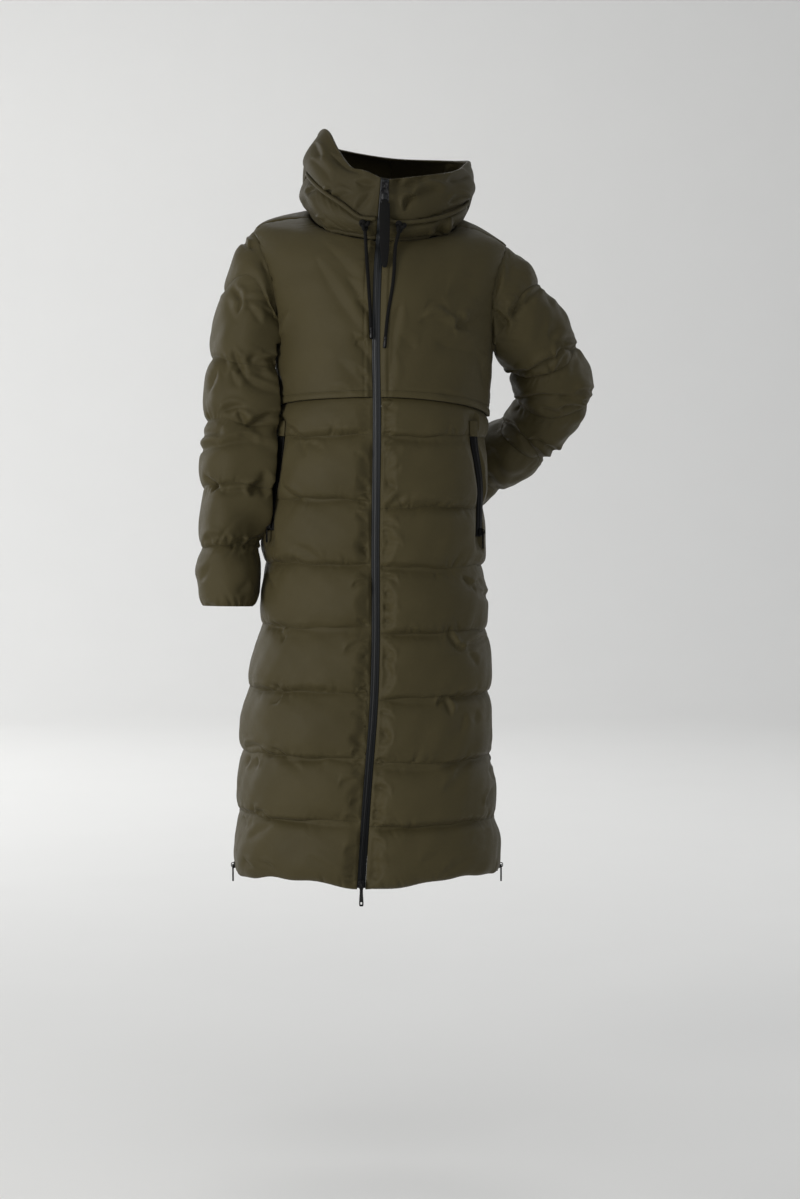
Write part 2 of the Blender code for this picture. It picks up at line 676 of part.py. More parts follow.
# ---------------------------------------------------------------- zips
def ribbon(surface, levels, edges):
    """Rows of a flat tape along a surface; edges(level) gives the turns of its two sides."""
    outer = []
    inner = []
    for level in levels:
        first, last = edges(level)
        turns = (first, (first + last) / 2, last)
        ridges = (0.0, ZIP_RIDGE, 0.0)
        points = [surface(turn, level) for turn in turns]
        normals = [surface_normal(surface, turn, level) for turn in turns]
        outer.append([p + n * (ZIP_THICKNESS + ridge - ZIP_SINK)
                      for p, n, ridge in zip(points, normals, ridges)])
        inner.append([p - n * ZIP_SINK for p, n in zip(points, normals)])
    return outer, inner


def tape(name, stretches, finish):
    """One closed tape from stretches of ribbon laid end to end."""
    outer = [row for stretch in stretches for row in stretch[0]]
    inner = [row for stretch in stretches for row in stretch[1]]
    inset_edges(outer)
    inset_edges(inner)
    wall(name, outer, inner, finish)


def main_zip():
    """Tape from the hem to just under the hood's edge."""
    def beside_zip(surface):
        return lambda level: (zip_edge(surface, level, -1), zip_edge(surface, level, 1))
    lower = [level_of(height) for height in spread(HEM_HEIGHT + 0.001, -0.30, 16)]
    on_body = ribbon(body, lower + [0.0, 0.2, 0.4, 0.6, 0.8, 0.96], beside_zip(body))
    on_collar = ribbon(collar_band, (0.1, 0.5, 0.9), beside_zip(collar_band))
    on_hood = ribbon(hood, (0.1, 0.4, 0.7, 0.97), beside_zip(hood))
    tape("main_zip_tape", (on_body, on_collar, on_hood), zip_tape())


def vent_zip(name, side):
    """Zip up the side seam from the hem."""
    def beside_seam(level):
        height = ARMPIT_HEIGHT + level
        front = side_turn(VENT_HALF_WIDTH, height, True)
        back = side_turn(VENT_HALF_WIDTH, height, False)
        return (math.pi - back, math.pi + front) if side < 0 else (-front, back)
    levels = [level_of(height) for height in spread(HEM_HEIGHT + 0.001, VENT_TOP, 6)]
    tape(name, (ribbon(body, levels, beside_seam),), zip_tape())


def on_panel(name, grid, rows, thickness, finish):
    """Strip laid on a panel between its two pocket columns, made from the panel's own points."""
    outer = []
    inner = []
    for row in rows:
        first = grid[row][2]
        last = grid[row][3]
        along = grid[row + 1][2] - grid[row - 1][2]
        normal = (last - first).cross(along).normalized()
        if normal.y > 0:
            normal = -normal
        low = [first, (first + last) / 2, last]
        inner.append([point + normal * POCKET_LIFT for point in low])
        tops = (thickness, thickness + ZIP_RIDGE, thickness)
        outer.append([point + normal * (POCKET_LIFT + top) for point, top in zip(low, tops)])
    inset_edges(outer)
    inset_edges(inner)
    wall(name, outer, inner, finish)
    return outer[-1][1], normal


def prism(profile, half_width):
    """Solid with a side profile of (depth, height) points, extruded across."""
    shape = bmesh.new()
    left = [shape.verts.new((-half_width, y, z)) for y, z in profile]
    right = [shape.verts.new((half_width, y, z)) for y, z in profile]
    shape.faces.new(left)
    shape.faces.new(list(reversed(right)))
    for i in range(len(profile)):
        k = (i + 1) % len(profile)
        shape.faces.new((left[i], right[i], right[k], left[k]))
    return shape


def plate(rows, thickness):
    """Flat tab hung on its top bar, from rows of height, half width and half width of a hole."""
    shape = bmesh.new()
    lines = []
    for height, half, hole in rows:
        across = (-half, -hole, hole, half) if hole else (-half, half)
        lines.append([shape.verts.new((x, -thickness / 2, height)) for x in across])
    for upper, lower in zip(lines, lines[1:]):
        if len(upper) == 4 and len(lower) == 4:
            shape.faces.new((upper[0], lower[0], lower[1], upper[1]))
            shape.faces.new((upper[2], lower[2], lower[3], upper[3]))
        else:
            shape.faces.new(upper[::-1] + lower)
    grown = bmesh.ops.extrude_face_region(shape, geom=list(shape.faces))
    moved = [item for item in grown["geom"] if isinstance(item, bmesh.types.BMVert)]
    bmesh.ops.translate(shape, verts=moved, vec=(0, thickness, 0))
    return shape


def hang(made, place, outward):
    """Place hardware upright at a point, its front turned to the outward direction."""
    level_out = Vector((outward.x, outward.y, 0)).normalized()
    made.location = place
    made.rotation_euler = (0, 0, math.atan2(level_out.x, -level_out.y))


def slider(name, place, outward, size):
    """Slider block with the arch that carries its pull; place is on the tape's ridge."""
    half_width, half_length = size
    level_out = Vector((outward.x, outward.y, 0)).normalized()
    seat = place + level_out * SLIDER_GAP
    nose = half_length * 0.75
    block = prism(((0, -half_length), (-SLIDER_DEPTH, -nose), (-SLIDER_DEPTH, nose),
                   (0, half_length)), half_width)
    made = add_object(name, block, dark_metal(), smooth=False)
    arch = add_object(name + "_arch", prism(ARCH_PROFILE, ARCH_HALF_WIDTH), dark_metal(), smooth=False)
    for piece in (made, arch):
        hang(piece, seat, outward)
    arch.hide_render = True
    arch.display_type = "WIRE"
    union = made.modifiers.new("arch", "BOOLEAN")
    union.operation = "UNION"
    union.object = arch
    return seat + level_out * PULL_AXIS_DEPTH


def hardware():
    """Sliders and pulls of the main zip, the pockets and the side vents."""
    level = hood_level_at(TOP_SLIDER_HEIGHT)
    across = read_table(ZIP_LINE, ZIP_COLUMNS, "across", TOP_SLIDER_HEIGHT)
    turn = turn_where(hood, across, level)
    front = Vector((0, -1, 0))
    ridge = ZIP_THICKNESS + ZIP_RIDGE - ZIP_SINK
    axis = slider("main_zip_top_slider", hood(turn, level) + front * ridge, front, TOP_SLIDER)
    hang(add_object("main_zip_top_pull", plate(TOP_PULL, PULL_THICKNESS), dark_metal(), False),
         axis, front)
    hang(add_object("main_zip_strap", plate(STRAP, STRAP_THICKNESS), black_cord(), False),
         axis, front)
    level = level_of(BOTTOM_SLIDER_HEIGHT)
    across = read_table(ZIP_LINE, ZIP_COLUMNS, "across", BOTTOM_SLIDER_HEIGHT)
    place = body(turn_where(body, across, level), level) + front * ridge
    axis = slider("main_zip_hem_slider", place, front, HEM_SLIDER)
    hang(add_object("main_zip_hem_pull", plate(HEM_PULL, PULL_THICKNESS), dark_metal(), False),
         axis, front)
    for word, turn in (("right", math.pi), ("left", 0.0)):
        outward = Vector((math.cos(turn), 0, 0))
        place = body(turn, level_of(VENT_SLIDER_HEIGHT)) + outward * ridge
        axis = slider("vent_slider_" + word, place, outward, SMALL_SLIDER)
        hang(add_object("vent_pull_" + word, plate(SMALL_PULL, PULL_THICKNESS), dark_metal(), False),
             axis, outward)


def hood_level_at(height):
    low = 0.0
    high = 1.0
    for _ in range(30):
        middle = (low + high) / 2
        if hood(FRONT, middle).z < height:
            low = middle
        else:
            high = middle
    return (low + high) / 2


def pocket(word, grid):
    """Zipped pocket: the zip, the cloth garage over its top end, its slider and pull."""
    on_panel("pocket_garage_" + word, grid, (1, POCKET_FIRST_ROW), ZIP_THICKNESS, shell_cloth())
    rows = range(POCKET_FIRST_ROW, POCKET_LAST_ROW + 1)
    end, outward = on_panel("pocket_zip_" + word, grid, rows, ZIP_THICKNESS, zip_tape())
    place = end + Vector((0, 0, POCKET_SLIDER_RISE))
    axis = slider("pocket_slider_" + word, place, outward, SMALL_SLIDER)
    hang(add_object("pocket_pull_" + word, plate(SMALL_PULL, PULL_THICKNESS), dark_metal(), False),
         axis, outward)


# ---------------------------------------------------------------- drawcords
def smooth_route(points, step):
    """Evenly stepped points on a smooth curve through the route's own points."""
    points = [Vector(point) for point in points]
    ends = [points[0] * 2 - points[1]] + points + [points[-1] * 2 - points[-2]]
    fine = []
    for a, b, c, d in zip(ends, ends[1:], ends[2:], ends[3:]):
        for i in range(24):
            t = i / 24
            fine.append(0.5 * (2 * b + (c - a) * t + (2 * a - 5 * b + 4 * c - d) * t * t
                               + (3 * b - a - 3 * c + d) * t ** 3))
    fine.append(points[-1])
    way = [0.0]
    for a, b in zip(fine, fine[1:]):
        way.append(way[-1] + (b - a).length)
    count = max(int(way[-1] / step), 2)
    route = []
    for i in range(count + 1):
        goal = way[-1] * i / count
        k = min(max(int(np.searchsorted(way, goal)) - 1, 0), len(way) - 2)
        part = (goal - way[k]) / (way[k + 1] - way[k])
        route.append(fine[k].lerp(fine[k + 1], part))
    return route


def tube(name, route, radius, finish, resolution=2):
    """Round cord along a route, with filled ends."""
    line = bpy.data.curves.new(name, "CURVE")
    line.dimensions = "3D"
    line.bevel_depth = radius
    line.bevel_resolution = resolution
    line.use_fill_caps = True
    spline = line.splines.new("POLY")
    spline.points.add(len(route) - 1)
    for knot, point in zip(spline.points, route):
        knot.co = (*point, 1.0)
    line.materials.append(finish)
    made = bpy.data.objects.new(name, line)
    bpy.context.scene.collection.objects.link(made)
    return made


def drawcord(word, points):
    """Free end of the drawcord: a knot under the tunnel, the cord and its metal tip."""
    route = smooth_route(points, CORD_STEP)
    tube("drawcord_" + word, route, CORD_RADIUS, black_cord())
    shape = bmesh.new()
    bmesh.ops.create_icosphere(shape, subdivisions=2, radius=KNOT_RADIUS)
    knot = add_object("drawcord_knot_" + word, shape, black_cord())
    start = (route[0] - route[1]).normalized()
    knot.location = route[0] + start * (KNOT_RADIUS + SEAM_INSET * 2)
    end = (route[-1] - route[-2]).normalized()
    tip = [route[-1] + end * (SEAM_INSET * 2), route[-1] + end * AGLET_LENGTH]
    tube("drawcord_tip_" + word, tip, AGLET_RADIUS, dark_metal())


def tunnel():
    """Piped tunnel that the drawcord runs in, all round between collar and hood."""
    first = zip_edge(hood, 0.0, 1) + TUNNEL_END_TURN
    last = zip_edge(hood, 0.0, -1) + 2 * math.pi - TUNNEL_END_TURN
    route = []
    for turn in spread(first, last, 40):
        outward = Vector((math.cos(turn), math.sin(turn), 0))
        route.append(sloping_ring(TUNNEL, turn) + outward * TUNNEL_PROUD)
    tube("drawcord_tunnel", route, TUNNEL_RADIUS, shell_cloth())


def build_coat():
    right = front_panel("front_quilted_panel_right", -1, QUILT_RIGHT, POCKET_RIGHT)
    left = front_panel("front_quilted_panel_left", 1, QUILT_LEFT, POCKET_LEFT)
    back_panel()
    front_yoke("front_yoke_right", -1)
    front_yoke("front_yoke_left", 1)
    back_yoke()
    for word, side, table in (("right", -1, SLEEVE_RIGHT), ("left", 1, SLEEVE_LEFT)):
        sleeve("sleeve_front_" + word, side, table, -90)
        sleeve("sleeve_back_" + word, side, table, 90)
    collar()
    hood_halves()
    tunnel()
    main_zip()
    vent_zip("vent_zip_right", -1)
    vent_zip("vent_zip_left", 1)
    pocket("right", right)
    pocket("left", left)
    hardware()
    drawcord("right", CORD_RIGHT)
    drawcord("left", CORD_LEFT)


# ---------------------------------------------------------------- scene
for old in list(bpy.data.objects):
    bpy.data.objects.remove(old, do_unlink=True)

build_coat()
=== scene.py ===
"""Long hooded puffer coat: cloth, stitching, zips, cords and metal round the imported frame.

Metres, +Z up, front to -Y, the wearer's right side to -X, as in the frame.
"""

import math

import bmesh
import bpy
import numpy as np
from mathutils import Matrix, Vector


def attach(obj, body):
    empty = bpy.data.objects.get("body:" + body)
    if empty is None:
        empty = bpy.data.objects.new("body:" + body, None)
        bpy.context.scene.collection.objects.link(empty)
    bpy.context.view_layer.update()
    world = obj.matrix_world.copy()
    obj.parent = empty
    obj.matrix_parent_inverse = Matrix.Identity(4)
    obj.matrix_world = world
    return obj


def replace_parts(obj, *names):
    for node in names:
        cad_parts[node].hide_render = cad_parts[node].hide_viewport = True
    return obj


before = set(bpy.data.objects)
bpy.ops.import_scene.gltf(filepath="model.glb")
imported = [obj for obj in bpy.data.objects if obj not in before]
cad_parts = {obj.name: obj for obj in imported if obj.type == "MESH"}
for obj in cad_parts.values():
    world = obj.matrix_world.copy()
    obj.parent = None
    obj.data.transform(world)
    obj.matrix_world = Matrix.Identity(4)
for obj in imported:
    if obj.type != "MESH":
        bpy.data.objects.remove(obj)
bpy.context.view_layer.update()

# -------------------- sizes shared with the solids
LINING = 0.003
YOKE_LOFT = 0.005
YOKE_LAP = 0.002
YOKE_STITCH = 0.011
SEAM_LOFT = 0.001
CHANNEL_LOFT_FRONT = 0.014
CHANNEL_LOFT_SIDE = 0.008
SLEEVE_LOFT = 0.009
COLLAR_SKIN = 0.003
COLLAR_LOFT = 0.008
COLLAR_LIFT = 0.0036
HOOD_FRONT_WALL = 0.012
HOOD_BACK_WALL = 0.004
HOOD_POUCH_POWER = 1.8
HOOD_EDGE_FULLNESS = 0.014
HOOD_FOOT_SPRING = 0.005
TUNNEL_SLOT = 0.0037
TUNNEL_PROUD = 0.001
TUNNEL_RADIUS = 0.0027
TUNNEL_END_TURN = 0.01
ARMPIT_HEIGHT = -0.225
HEM_HEIGHT = -1.075
SECTION_POWER = 0.85
ZIP_HALF_WIDTH = 0.0065
ZIP_THICKNESS = 0.0022
ZIP_SINK = 0.0012
ZIP_RIDGE = 0.0008
VENT_TOP = -0.886
VENT_HALF_WIDTH = 0.005
VENT_CLOSE = 0.012
SLEEVE_CLEARANCE = 0.003
ARMHOLE_BOTTOM = 0.03
ARMHOLE_TOP = 0.70
ARMHOLE_MIDDLE = (ARMHOLE_TOP + ARMHOLE_BOTTOM) / 2
ARMHOLE_HALF = (ARMHOLE_TOP - ARMHOLE_BOTTOM) / 2
ARMHOLE_HALF_TURN = math.radians(24)
FRONT = -math.pi / 2

# Body at the stitched lines: half outline on each side, and how far front and back stand out.
BODY_COLUMNS = ("height", "right", "left", "front", "back")
BODY = (
    (-1.075, -0.229, 0.202, -0.176, 0.186),
    (-0.985, -0.224, 0.196, -0.173, 0.182),
    (-0.870, -0.217, 0.188, -0.167, 0.176),
    (-0.745, -0.203, 0.185, -0.160, 0.168),
    (-0.680, -0.188, 0.182, -0.156, 0.164),
    (-0.590, -0.180, 0.175, -0.152, 0.158),
    (-0.505, -0.179, 0.176, -0.150, 0.150),
    (-0.400, -0.168, 0.178, -0.152, 0.146),
    (-0.300, -0.156, 0.183, -0.153, 0.150),
    (-0.225, -0.159, 0.188, -0.150, 0.150),
)
QUILT_RIGHT = (-0.355, -0.456, -0.559, -0.661, -0.764, -0.867, -0.968, HEM_HEIGHT)
QUILT_LEFT = (-0.355, -0.470, -0.565, -0.669, -0.773, -0.877, -0.977, HEM_HEIGHT)
QUILT_BACK = (-0.355, -0.462, -0.562, -0.665, -0.769, -0.872, -0.973, HEM_HEIGHT)
YOKE_COLUMNS = ("turn", "height")
YOKE_EDGE = ((-180, -0.306), (-120, -0.296), (-90, -0.294), (-50, -0.303), (0, -0.320),
             (90, -0.300), (180, -0.306))
ZIP_COLUMNS = ("height", "across")
ZIP_LINE = ((-1.075, -0.0207), (-0.930, -0.0115), (-0.775, 0.0000), (-0.500, 0.0025),
            (-0.300, 0.0045), (-0.235, 0.0035), (-0.088, 0.0063), (0.045, 0.0174))
POCKET_RIGHT = ((-0.514, -0.1646), (-0.477, -0.1646), (-0.445, -0.1605), (-0.408, -0.1539),
                (-0.374, -0.1489), (-0.336, -0.1457))
POCKET_LEFT = ((-0.520, 0.1655), (-0.477, 0.1670), (-0.429, 0.1670), (-0.403, 0.1635),
               (-0.370, 0.1580), (-0.330, 0.1555))

# Sleeve rings: outer and inner edge of the sleeve, its middle in depth and half its depth.
SLEEVE_COLUMNS = ("ring", "out_x", "out_z", "in_x", "in_z", "y", "half_depth")
SLEEVE_RIGHT = (
    (0.0, -0.197, -0.018, -0.166, -0.221, 0.000, 0.066),
    (0.5, -0.226, -0.060, -0.171, -0.228, -0.006, 0.068),
    (1.0, -0.246, -0.118, -0.172, -0.236, -0.012, 0.067),
    (2.0, -0.264, -0.228, -0.168, -0.266, -0.025, 0.062),
    (3.0, -0.272, -0.333, -0.162, -0.345, -0.038, 0.058),
    (4.0, -0.277, -0.437, -0.176, -0.441, -0.050, 0.055),
    (5.0, -0.280, -0.533, -0.190, -0.535, -0.058, 0.052),
    (6.0, -0.279, -0.630, -0.199, -0.631, -0.062, 0.049),
)
SLEEVE_LEFT = (
    (0.0, 0.214, -0.030, 0.196, -0.221, 0.000, 0.066),
    (0.5, 0.240, -0.064, 0.203, -0.228, 0.008, 0.068),
    (1.0, 0.266, -0.103, 0.212, -0.234, 0.020, 0.067),
    (2.0, 0.329, -0.199, 0.230, -0.247, 0.050, 0.062),
    (3.0, 0.357, -0.288, 0.238, -0.290, 0.085, 0.060),
    (4.0, 0.289, -0.383, 0.219, -0.322, 0.130, 0.058),
    (5.0, 0.218, -0.438, 0.156, -0.362, 0.176, 0.054),
    (6.0, 0.134, -0.487, 0.084, -0.405, 0.212, 0.049),
)

# Neck seam and tunnel seam: middle, reach across, reach in depth, and how each one slopes.
NECK = {"x": 0.014, "y": -0.014, "z": -0.006, "across": 0.118, "depth": 0.100,
        "back_rise": 0.040, "left_rise": -0.006, "side_rise": 0.0}
TUNNEL = {"x": 0.0225, "y": -0.018, "z": 0.0285, "across": 0.1315, "depth": 0.116,
          "back_rise": 0.0415, "left_rise": -0.022, "side_rise": 0.0295}
RING_COLUMNS = ("turn", "x", "y", "z")
HOOD_RIM = (
    (-90, 0.016, -0.138, 0.051),
    (-60, 0.075, -0.119, 0.060),
    (-30, 0.128, -0.071, 0.073),
    (0, 0.156, 0.005, 0.096),
    (40, 0.128, 0.085, 0.108),
    (90, 0.026, 0.122, 0.117),
    (140, -0.070, 0.088, 0.130),
    (180, -0.101, 0.010, 0.135),
    (205, -0.078, -0.058, 0.143),
    (235, -0.040, -0.104, 0.106),
    (255, -0.012, -0.130, 0.070),
    (270, 0.016, -0.138, 0.051),
)

# Drawcords: route from under the knot to the metal tip.
KNOT_RADIUS = 0.005
CORD_RADIUS = 0.0027
AGLET_RADIUS = 0.0031
AGLET_LENGTH = 0.019
SEAM_INSET = 0.0002
CORD_RIGHT = ((-0.0145, -0.1335, -0.0256), (-0.0130, -0.1345, -0.050), (-0.0115, -0.1375, -0.075),
              (-0.0090, -0.1472, -0.110), (-0.0062, -0.1522, -0.151), (-0.0048, -0.1542, -0.1835))
CORD_LEFT = ((0.0405, -0.1392, -0.0288), (0.0345, -0.1392, -0.052), (0.0330, -0.1405, -0.070),
             (0.0318, -0.1457, -0.095), (0.0288, -0.1506, -0.123), (0.0218, -0.1543, -0.165),
             (0.0184, -0.1553, -0.198))


# -------------------- tables and curves
def smooth_between(values, slopes, i, span, t):
    """Value a share t of the span on from values[i], with the given slopes at both ends."""
    start = values[i] * (1 + 2 * t) * (1 - t) ** 2 + slopes[i] * span * t * (1 - t) ** 2
    return start + values[i + 1] * t * t * (3 - 2 * t) + slopes[i + 1] * span * t * t * (t - 1)


def column(rows, columns, name, place):
    """Smooth values of one named column at places along the table's first column."""
    keys = np.array([row[0] for row in rows], dtype=float)
    values = np.array([row[columns.index(name)] for row in rows], dtype=float)
    slopes = np.gradient(values, keys)
    place = np.clip(place, keys[0], keys[-1])
    i = np.clip(np.searchsorted(keys, place) - 1, 0, len(keys) - 2)
    span = keys[i + 1] - keys[i]
    t = (place - keys[i]) / span
    return smooth_between(values, slopes, i, span, t)


def ease(value, start, end):
    """0 before start, 1 after end, smooth between."""
    t = np.clip((value - start) / (end - start), 0.0, 1.0)
    return t * t * (3 - 2 * t)


def mix(a, b, share):
    return a + (b - a) * share


def bezier(a, b, c, d, t):
    t = t[..., None]
    return a * (1 - t) ** 3 + 3 * b * t * (1 - t) ** 2 + 3 * c * t * t * (1 - t) + d * t ** 3


def points(*axes):
    """Array of points from arrays or numbers of x, y and z."""
    return np.stack(np.broadcast_arrays(*axes), axis=-1).astype(float)


def unit(vectors):
    return vectors / np.maximum(np.linalg.norm(vectors, axis=-1, keepdims=True), 1e-12)


def signed_power(value, power):
    return np.sign(value) * np.abs(value) ** power


def way_along(route):
    """Length run at each point of a route, from 0."""
    return np.r_[0.0, np.cumsum(np.linalg.norm(np.diff(route, axis=0), axis=1))]


# -------------------- the garment's surfaces
def body_section(turn, height):
    """Point of the quilted body's stitched outline."""
    right = column(BODY, BODY_COLUMNS, "right", height)
    left = column(BODY, BODY_COLUMNS, "left", height)
    depth = np.where(np.sin(turn) > 0, column(BODY, BODY_COLUMNS, "back", height),
                     column(BODY, BODY_COLUMNS, "front", height))
    x = (right + left) / 2 + (left - right) / 2 * signed_power(np.cos(turn), SECTION_POWER)
    return points(x, np.abs(depth) * signed_power(np.sin(turn), SECTION_POWER), height)


def sloping_ring(ring, turn):
    """Point of a neck seam: an ellipse that rises to the back, to the left and at both sides."""
    c = np.cos(turn)
    s = np.sin(turn)
    height = ring["z"] + ring["back_rise"] * s + ring["left_rise"] * c + ring["side_rise"] * c * c
    return points(ring["x"] + ring["across"] * c, ring["y"] + ring["depth"] * s, height)


def body(turn, level):
    """A level at or under 0 is metres below the armpit, 0 to 1 runs on to the neck."""
    turn, level = np.broadcast_arrays(turn, level)
    foot = body_section(turn, ARMPIT_HEIGHT + np.minimum(level, 0.0))
    top = sloping_ring(NECK, turn)
    side = np.abs(np.cos(turn))
    low = foot + points(0.0, 0.0, 0.08 + 0.045 * side)
    shoulder = points(0.162 * side ** 3 * np.sign(np.cos(turn)), 0.028 * np.sin(turn),
                      -0.034 + 0.027 * side)
    upper = bezier(foot, low, top + shoulder, top, np.maximum(level, 0.0))
    return np.where((level <= 0)[..., None], foot, upper)


def around(turn):
    """Level direction outward at a turn."""
    return points(np.cos(turn), np.sin(turn), 0.0)


def collar_band(turn, rise):
    """Neck band between the neck seam, rise 0, and the tunnel's seam, rise 1."""
    turn, rise = np.broadcast_arrays(turn, rise)
    foot = sloping_ring(NECK, turn) + points(0.0, 0.0, YOKE_LOFT + COLLAR_LIFT)
    top = sloping_ring(TUNNEL, turn) - points(0.0, 0.0, TUNNEL_SLOT)
    flat = 1 - 0.8 * np.maximum(-np.sin(turn), 0.0) ** 6
    bulge = COLLAR_LOFT * (0.55 - 0.45 * np.sin(turn)) * flat * np.sin(math.pi * rise)
    return mix(foot, top, rise[..., None]) + around(turn) * bulge[..., None]


def hood_rim(turn):
    place = (np.degrees(turn) + 90) % 360 - 90
    return points(*[column(HOOD_RIM, RING_COLUMNS, axis, place) for axis in "xyz"])


def hood(turn, rise):
    """Hood lying open: a funnel round the face in front, a hanging pouch behind."""
    turn, rise = np.broadcast_arrays(turn, rise)
    s = np.sin(turn)
    back = np.maximum(s, 0.0) ** HOOD_POUCH_POWER
    flat = 1 - 0.8 * np.maximum(-s, 0.0) ** 3
    out = around(turn)
    spring = HOOD_FOOT_SPRING * ease(s, -0.4, 0.1)
    foot = sloping_ring(TUNNEL, turn) + out * spring[..., None]
    foot = foot + points(0.0, HOOD_FOOT_SPRING * back, TUNNEL_SLOT)
    full = (HOOD_EDGE_FULLNESS + 0.012 * np.abs(np.cos(turn))) * flat
    low = foot + out * full[..., None] + points(0.0, 0.09 * back, 0.014 - 0.44 * back)
    rim = hood_rim(turn)
    high = rim + out * (HOOD_EDGE_FULLNESS * flat)[..., None] + points(0.0, 0.16 * back, -0.018)
    return bezier(foot, low, high, rim, rise)


SMALL_STEP = 0.002


def normal_of(surface, turn, level):
    """Outward direction of a surface, from small steps along it."""
    across = surface(turn + SMALL_STEP, level) - surface(turn - SMALL_STEP, level)
    up = surface(turn, level + SMALL_STEP) - surface(turn, level - SMALL_STEP)
    return unit(np.cross(across, up))


def turn_where(surface, across, level):
    """Turn on the front half of a surface at which it lies at a given distance across."""
    across, level = np.broadcast_arrays(across, level)
    low = np.full(level.shape, -math.pi + 0.05)
    high = np.full(level.shape, -0.05)
    for _ in range(34):
        middle = (low + high) / 2
        short = surface(middle, level)[..., 0] < across
        low = np.where(short, middle, low)
        high = np.where(short, high, middle)
    return (low + high) / 2


def zip_across(height):
    return column(ZIP_LINE, ZIP_COLUMNS, "across", height)


def zip_edge(surface, level, side):
    """Turn of a front edge beside the zip tape, side -1 for the wearer's right."""
    level = np.asarray(level, dtype=float)
    height = surface(np.full(level.shape, FRONT), level)[..., 2]
    return turn_where(surface, zip_across(height) + side * ZIP_HALF_WIDTH, level)


def off_zip(places):
    """Distance across from the nearer edge of the zip tape."""
    return np.abs(places[..., 0] - zip_across(places[..., 2])) - ZIP_HALF_WIDTH


def level_of(height):
    return height - ARMPIT_HEIGHT


def side_turn(depth, height, front):
    """Turn from the side seam line at which the wall lies a given depth from it."""
    reach = np.abs(column(BODY, BODY_COLUMNS, "front" if front else "back", height))
    return np.arcsin((depth / reach) ** (1 / SECTION_POWER))


def vent_turn(height, front):
    """Turn that the vent zip takes up beside the side seam line, none above the zip."""
    depth = np.where(height < VENT_TOP + VENT_CLOSE, VENT_HALF_WIDTH, 0.0)
    return side_turn(depth, height, front)


def yoke_height(turn):
    return column(YOKE_EDGE, YOKE_COLUMNS, "height", (np.degrees(turn) + 180) % 360 - 180)


def armhole_turn(level):
    """Half the turn that the armhole takes up at a level, from the side seam line."""
    share = (level - ARMHOLE_MIDDLE) / ARMHOLE_HALF
    return ARMHOLE_HALF_TURN * np.sqrt(np.maximum(1 - share ** 2, 0.0))


# -------------------- relief of sewn and padded cloth
def swell(places, size, seed):
    """Soft uneven fill, about -1 to 1, with humps of the given size over points of any space."""
    draw = np.random.default_rng(seed)
    total = np.zeros(places.shape[:-1])
    waves = 9
    for _ in range(waves):
        way = draw.normal(size=places.shape[-1])
        way *= 2 * math.pi / (size * draw.uniform(0.8, 1.7) * np.linalg.norm(way))
        total += np.cos(places @ way + draw.uniform(0, 2 * math.pi))
    return total / math.sqrt(waves)


def gathers(along, away, length, depth, seed, spacing=0.021, reach=0.010, clusters=3, calm=0.15):
    """Puckers that a line of stitching draws up: along it and away from it, in metres.

    Most of the line lies calm; the puckers crowd round a few places where the thread pulls.
    """
    draw = np.random.default_rng(seed)
    total = np.zeros(along.shape)
    pulls = draw.uniform(0, length, clusters)
    near = away < 0.06
    s = along[near]
    d = away[near]
    part = np.zeros(s.shape)
    for place in np.arange(0, length, spacing * 0.6):
        at = place + draw.uniform(-0.5, 0.5) * spacing
        strong = calm + np.exp(-(np.min(np.abs(pulls - at)) / 0.024) ** 2)
        width = draw.uniform(0.0020, 0.0046)
        far = reach * draw.uniform(0.5, 1.5)
        lean = draw.uniform(-0.6, 0.6)
        sink = depth * strong * draw.uniform(0.4, 1.2)
        x = (s - at - lean * d) / (width * (1 + 0.7 * d / far))
        part -= sink * (1 - 0.8 * x * x) * np.exp(-x * x) * np.exp(-(d / far) ** 1.4)
    total[near] = part
    return total


FOLD_HEIGHT = 0.0019            # metres that a fold of depth 1 sinks in
FOLD_RIDGE = 0.6                # height of the ridge beside a fold, as a share of its depth
RELIEF_LEAST = -0.0012          # how far the relief may sink under the cloth's own line
RELIEF_STOP = 0.0008            # how softly it stops there
THREAD_LIFT = 0.0002            # stitches lie this far above the cloth
SOFT_FROM = 0.006               # padding this thick shows lumps and puckers in full
SIDE_SEAM_SLACK = 0.022         # the padding is thinner this far from a side seam


def creases(places, rows, flat=(0, 2)):
    """Depth of listed folds over points; flat names the two axes the rows are measured on."""
    total = np.zeros(places.shape[:-1])
    x = places[..., flat[0]] * 1000
    z = places[..., flat[1]] * 1000
    for x0, z0, x1, z1, bow, half, depth in rows:
        run = np.array((x1 - x0, z1 - z0), dtype=float)
        length = np.linalg.norm(run)
        run = run / length
        t = ((x - x0) * run[0] + (z - z0) * run[1]) / length
        off = (z - z0) * run[0] - (x - x0) * run[1] - bow * 4 * t * (1 - t)
        ends = ease(t, -0.14, 0.24) * (1 - ease(t, 0.66, 1.14)) * depth
        wide = half * (0.55 + 0.75 * np.sin(math.pi * np.clip(t, 0, 1)) ** 0.7)
        u = off / wide
        ridge = FOLD_RIDGE * np.exp(-((u - 1.5) / 0.95) ** 2)
        total += ends * (ridge - np.exp(-np.abs(u) ** 1.4)) * FOLD_HEIGHT
    return total


def held_back(relief):
    """Relief kept above the cloth's own inside, with a soft stop."""
    under = np.minimum(relief - RELIEF_LEAST, 0.0)
    return np.maximum(relief, RELIEF_LEAST) - RELIEF_STOP * (1 - np.exp(under / RELIEF_STOP))


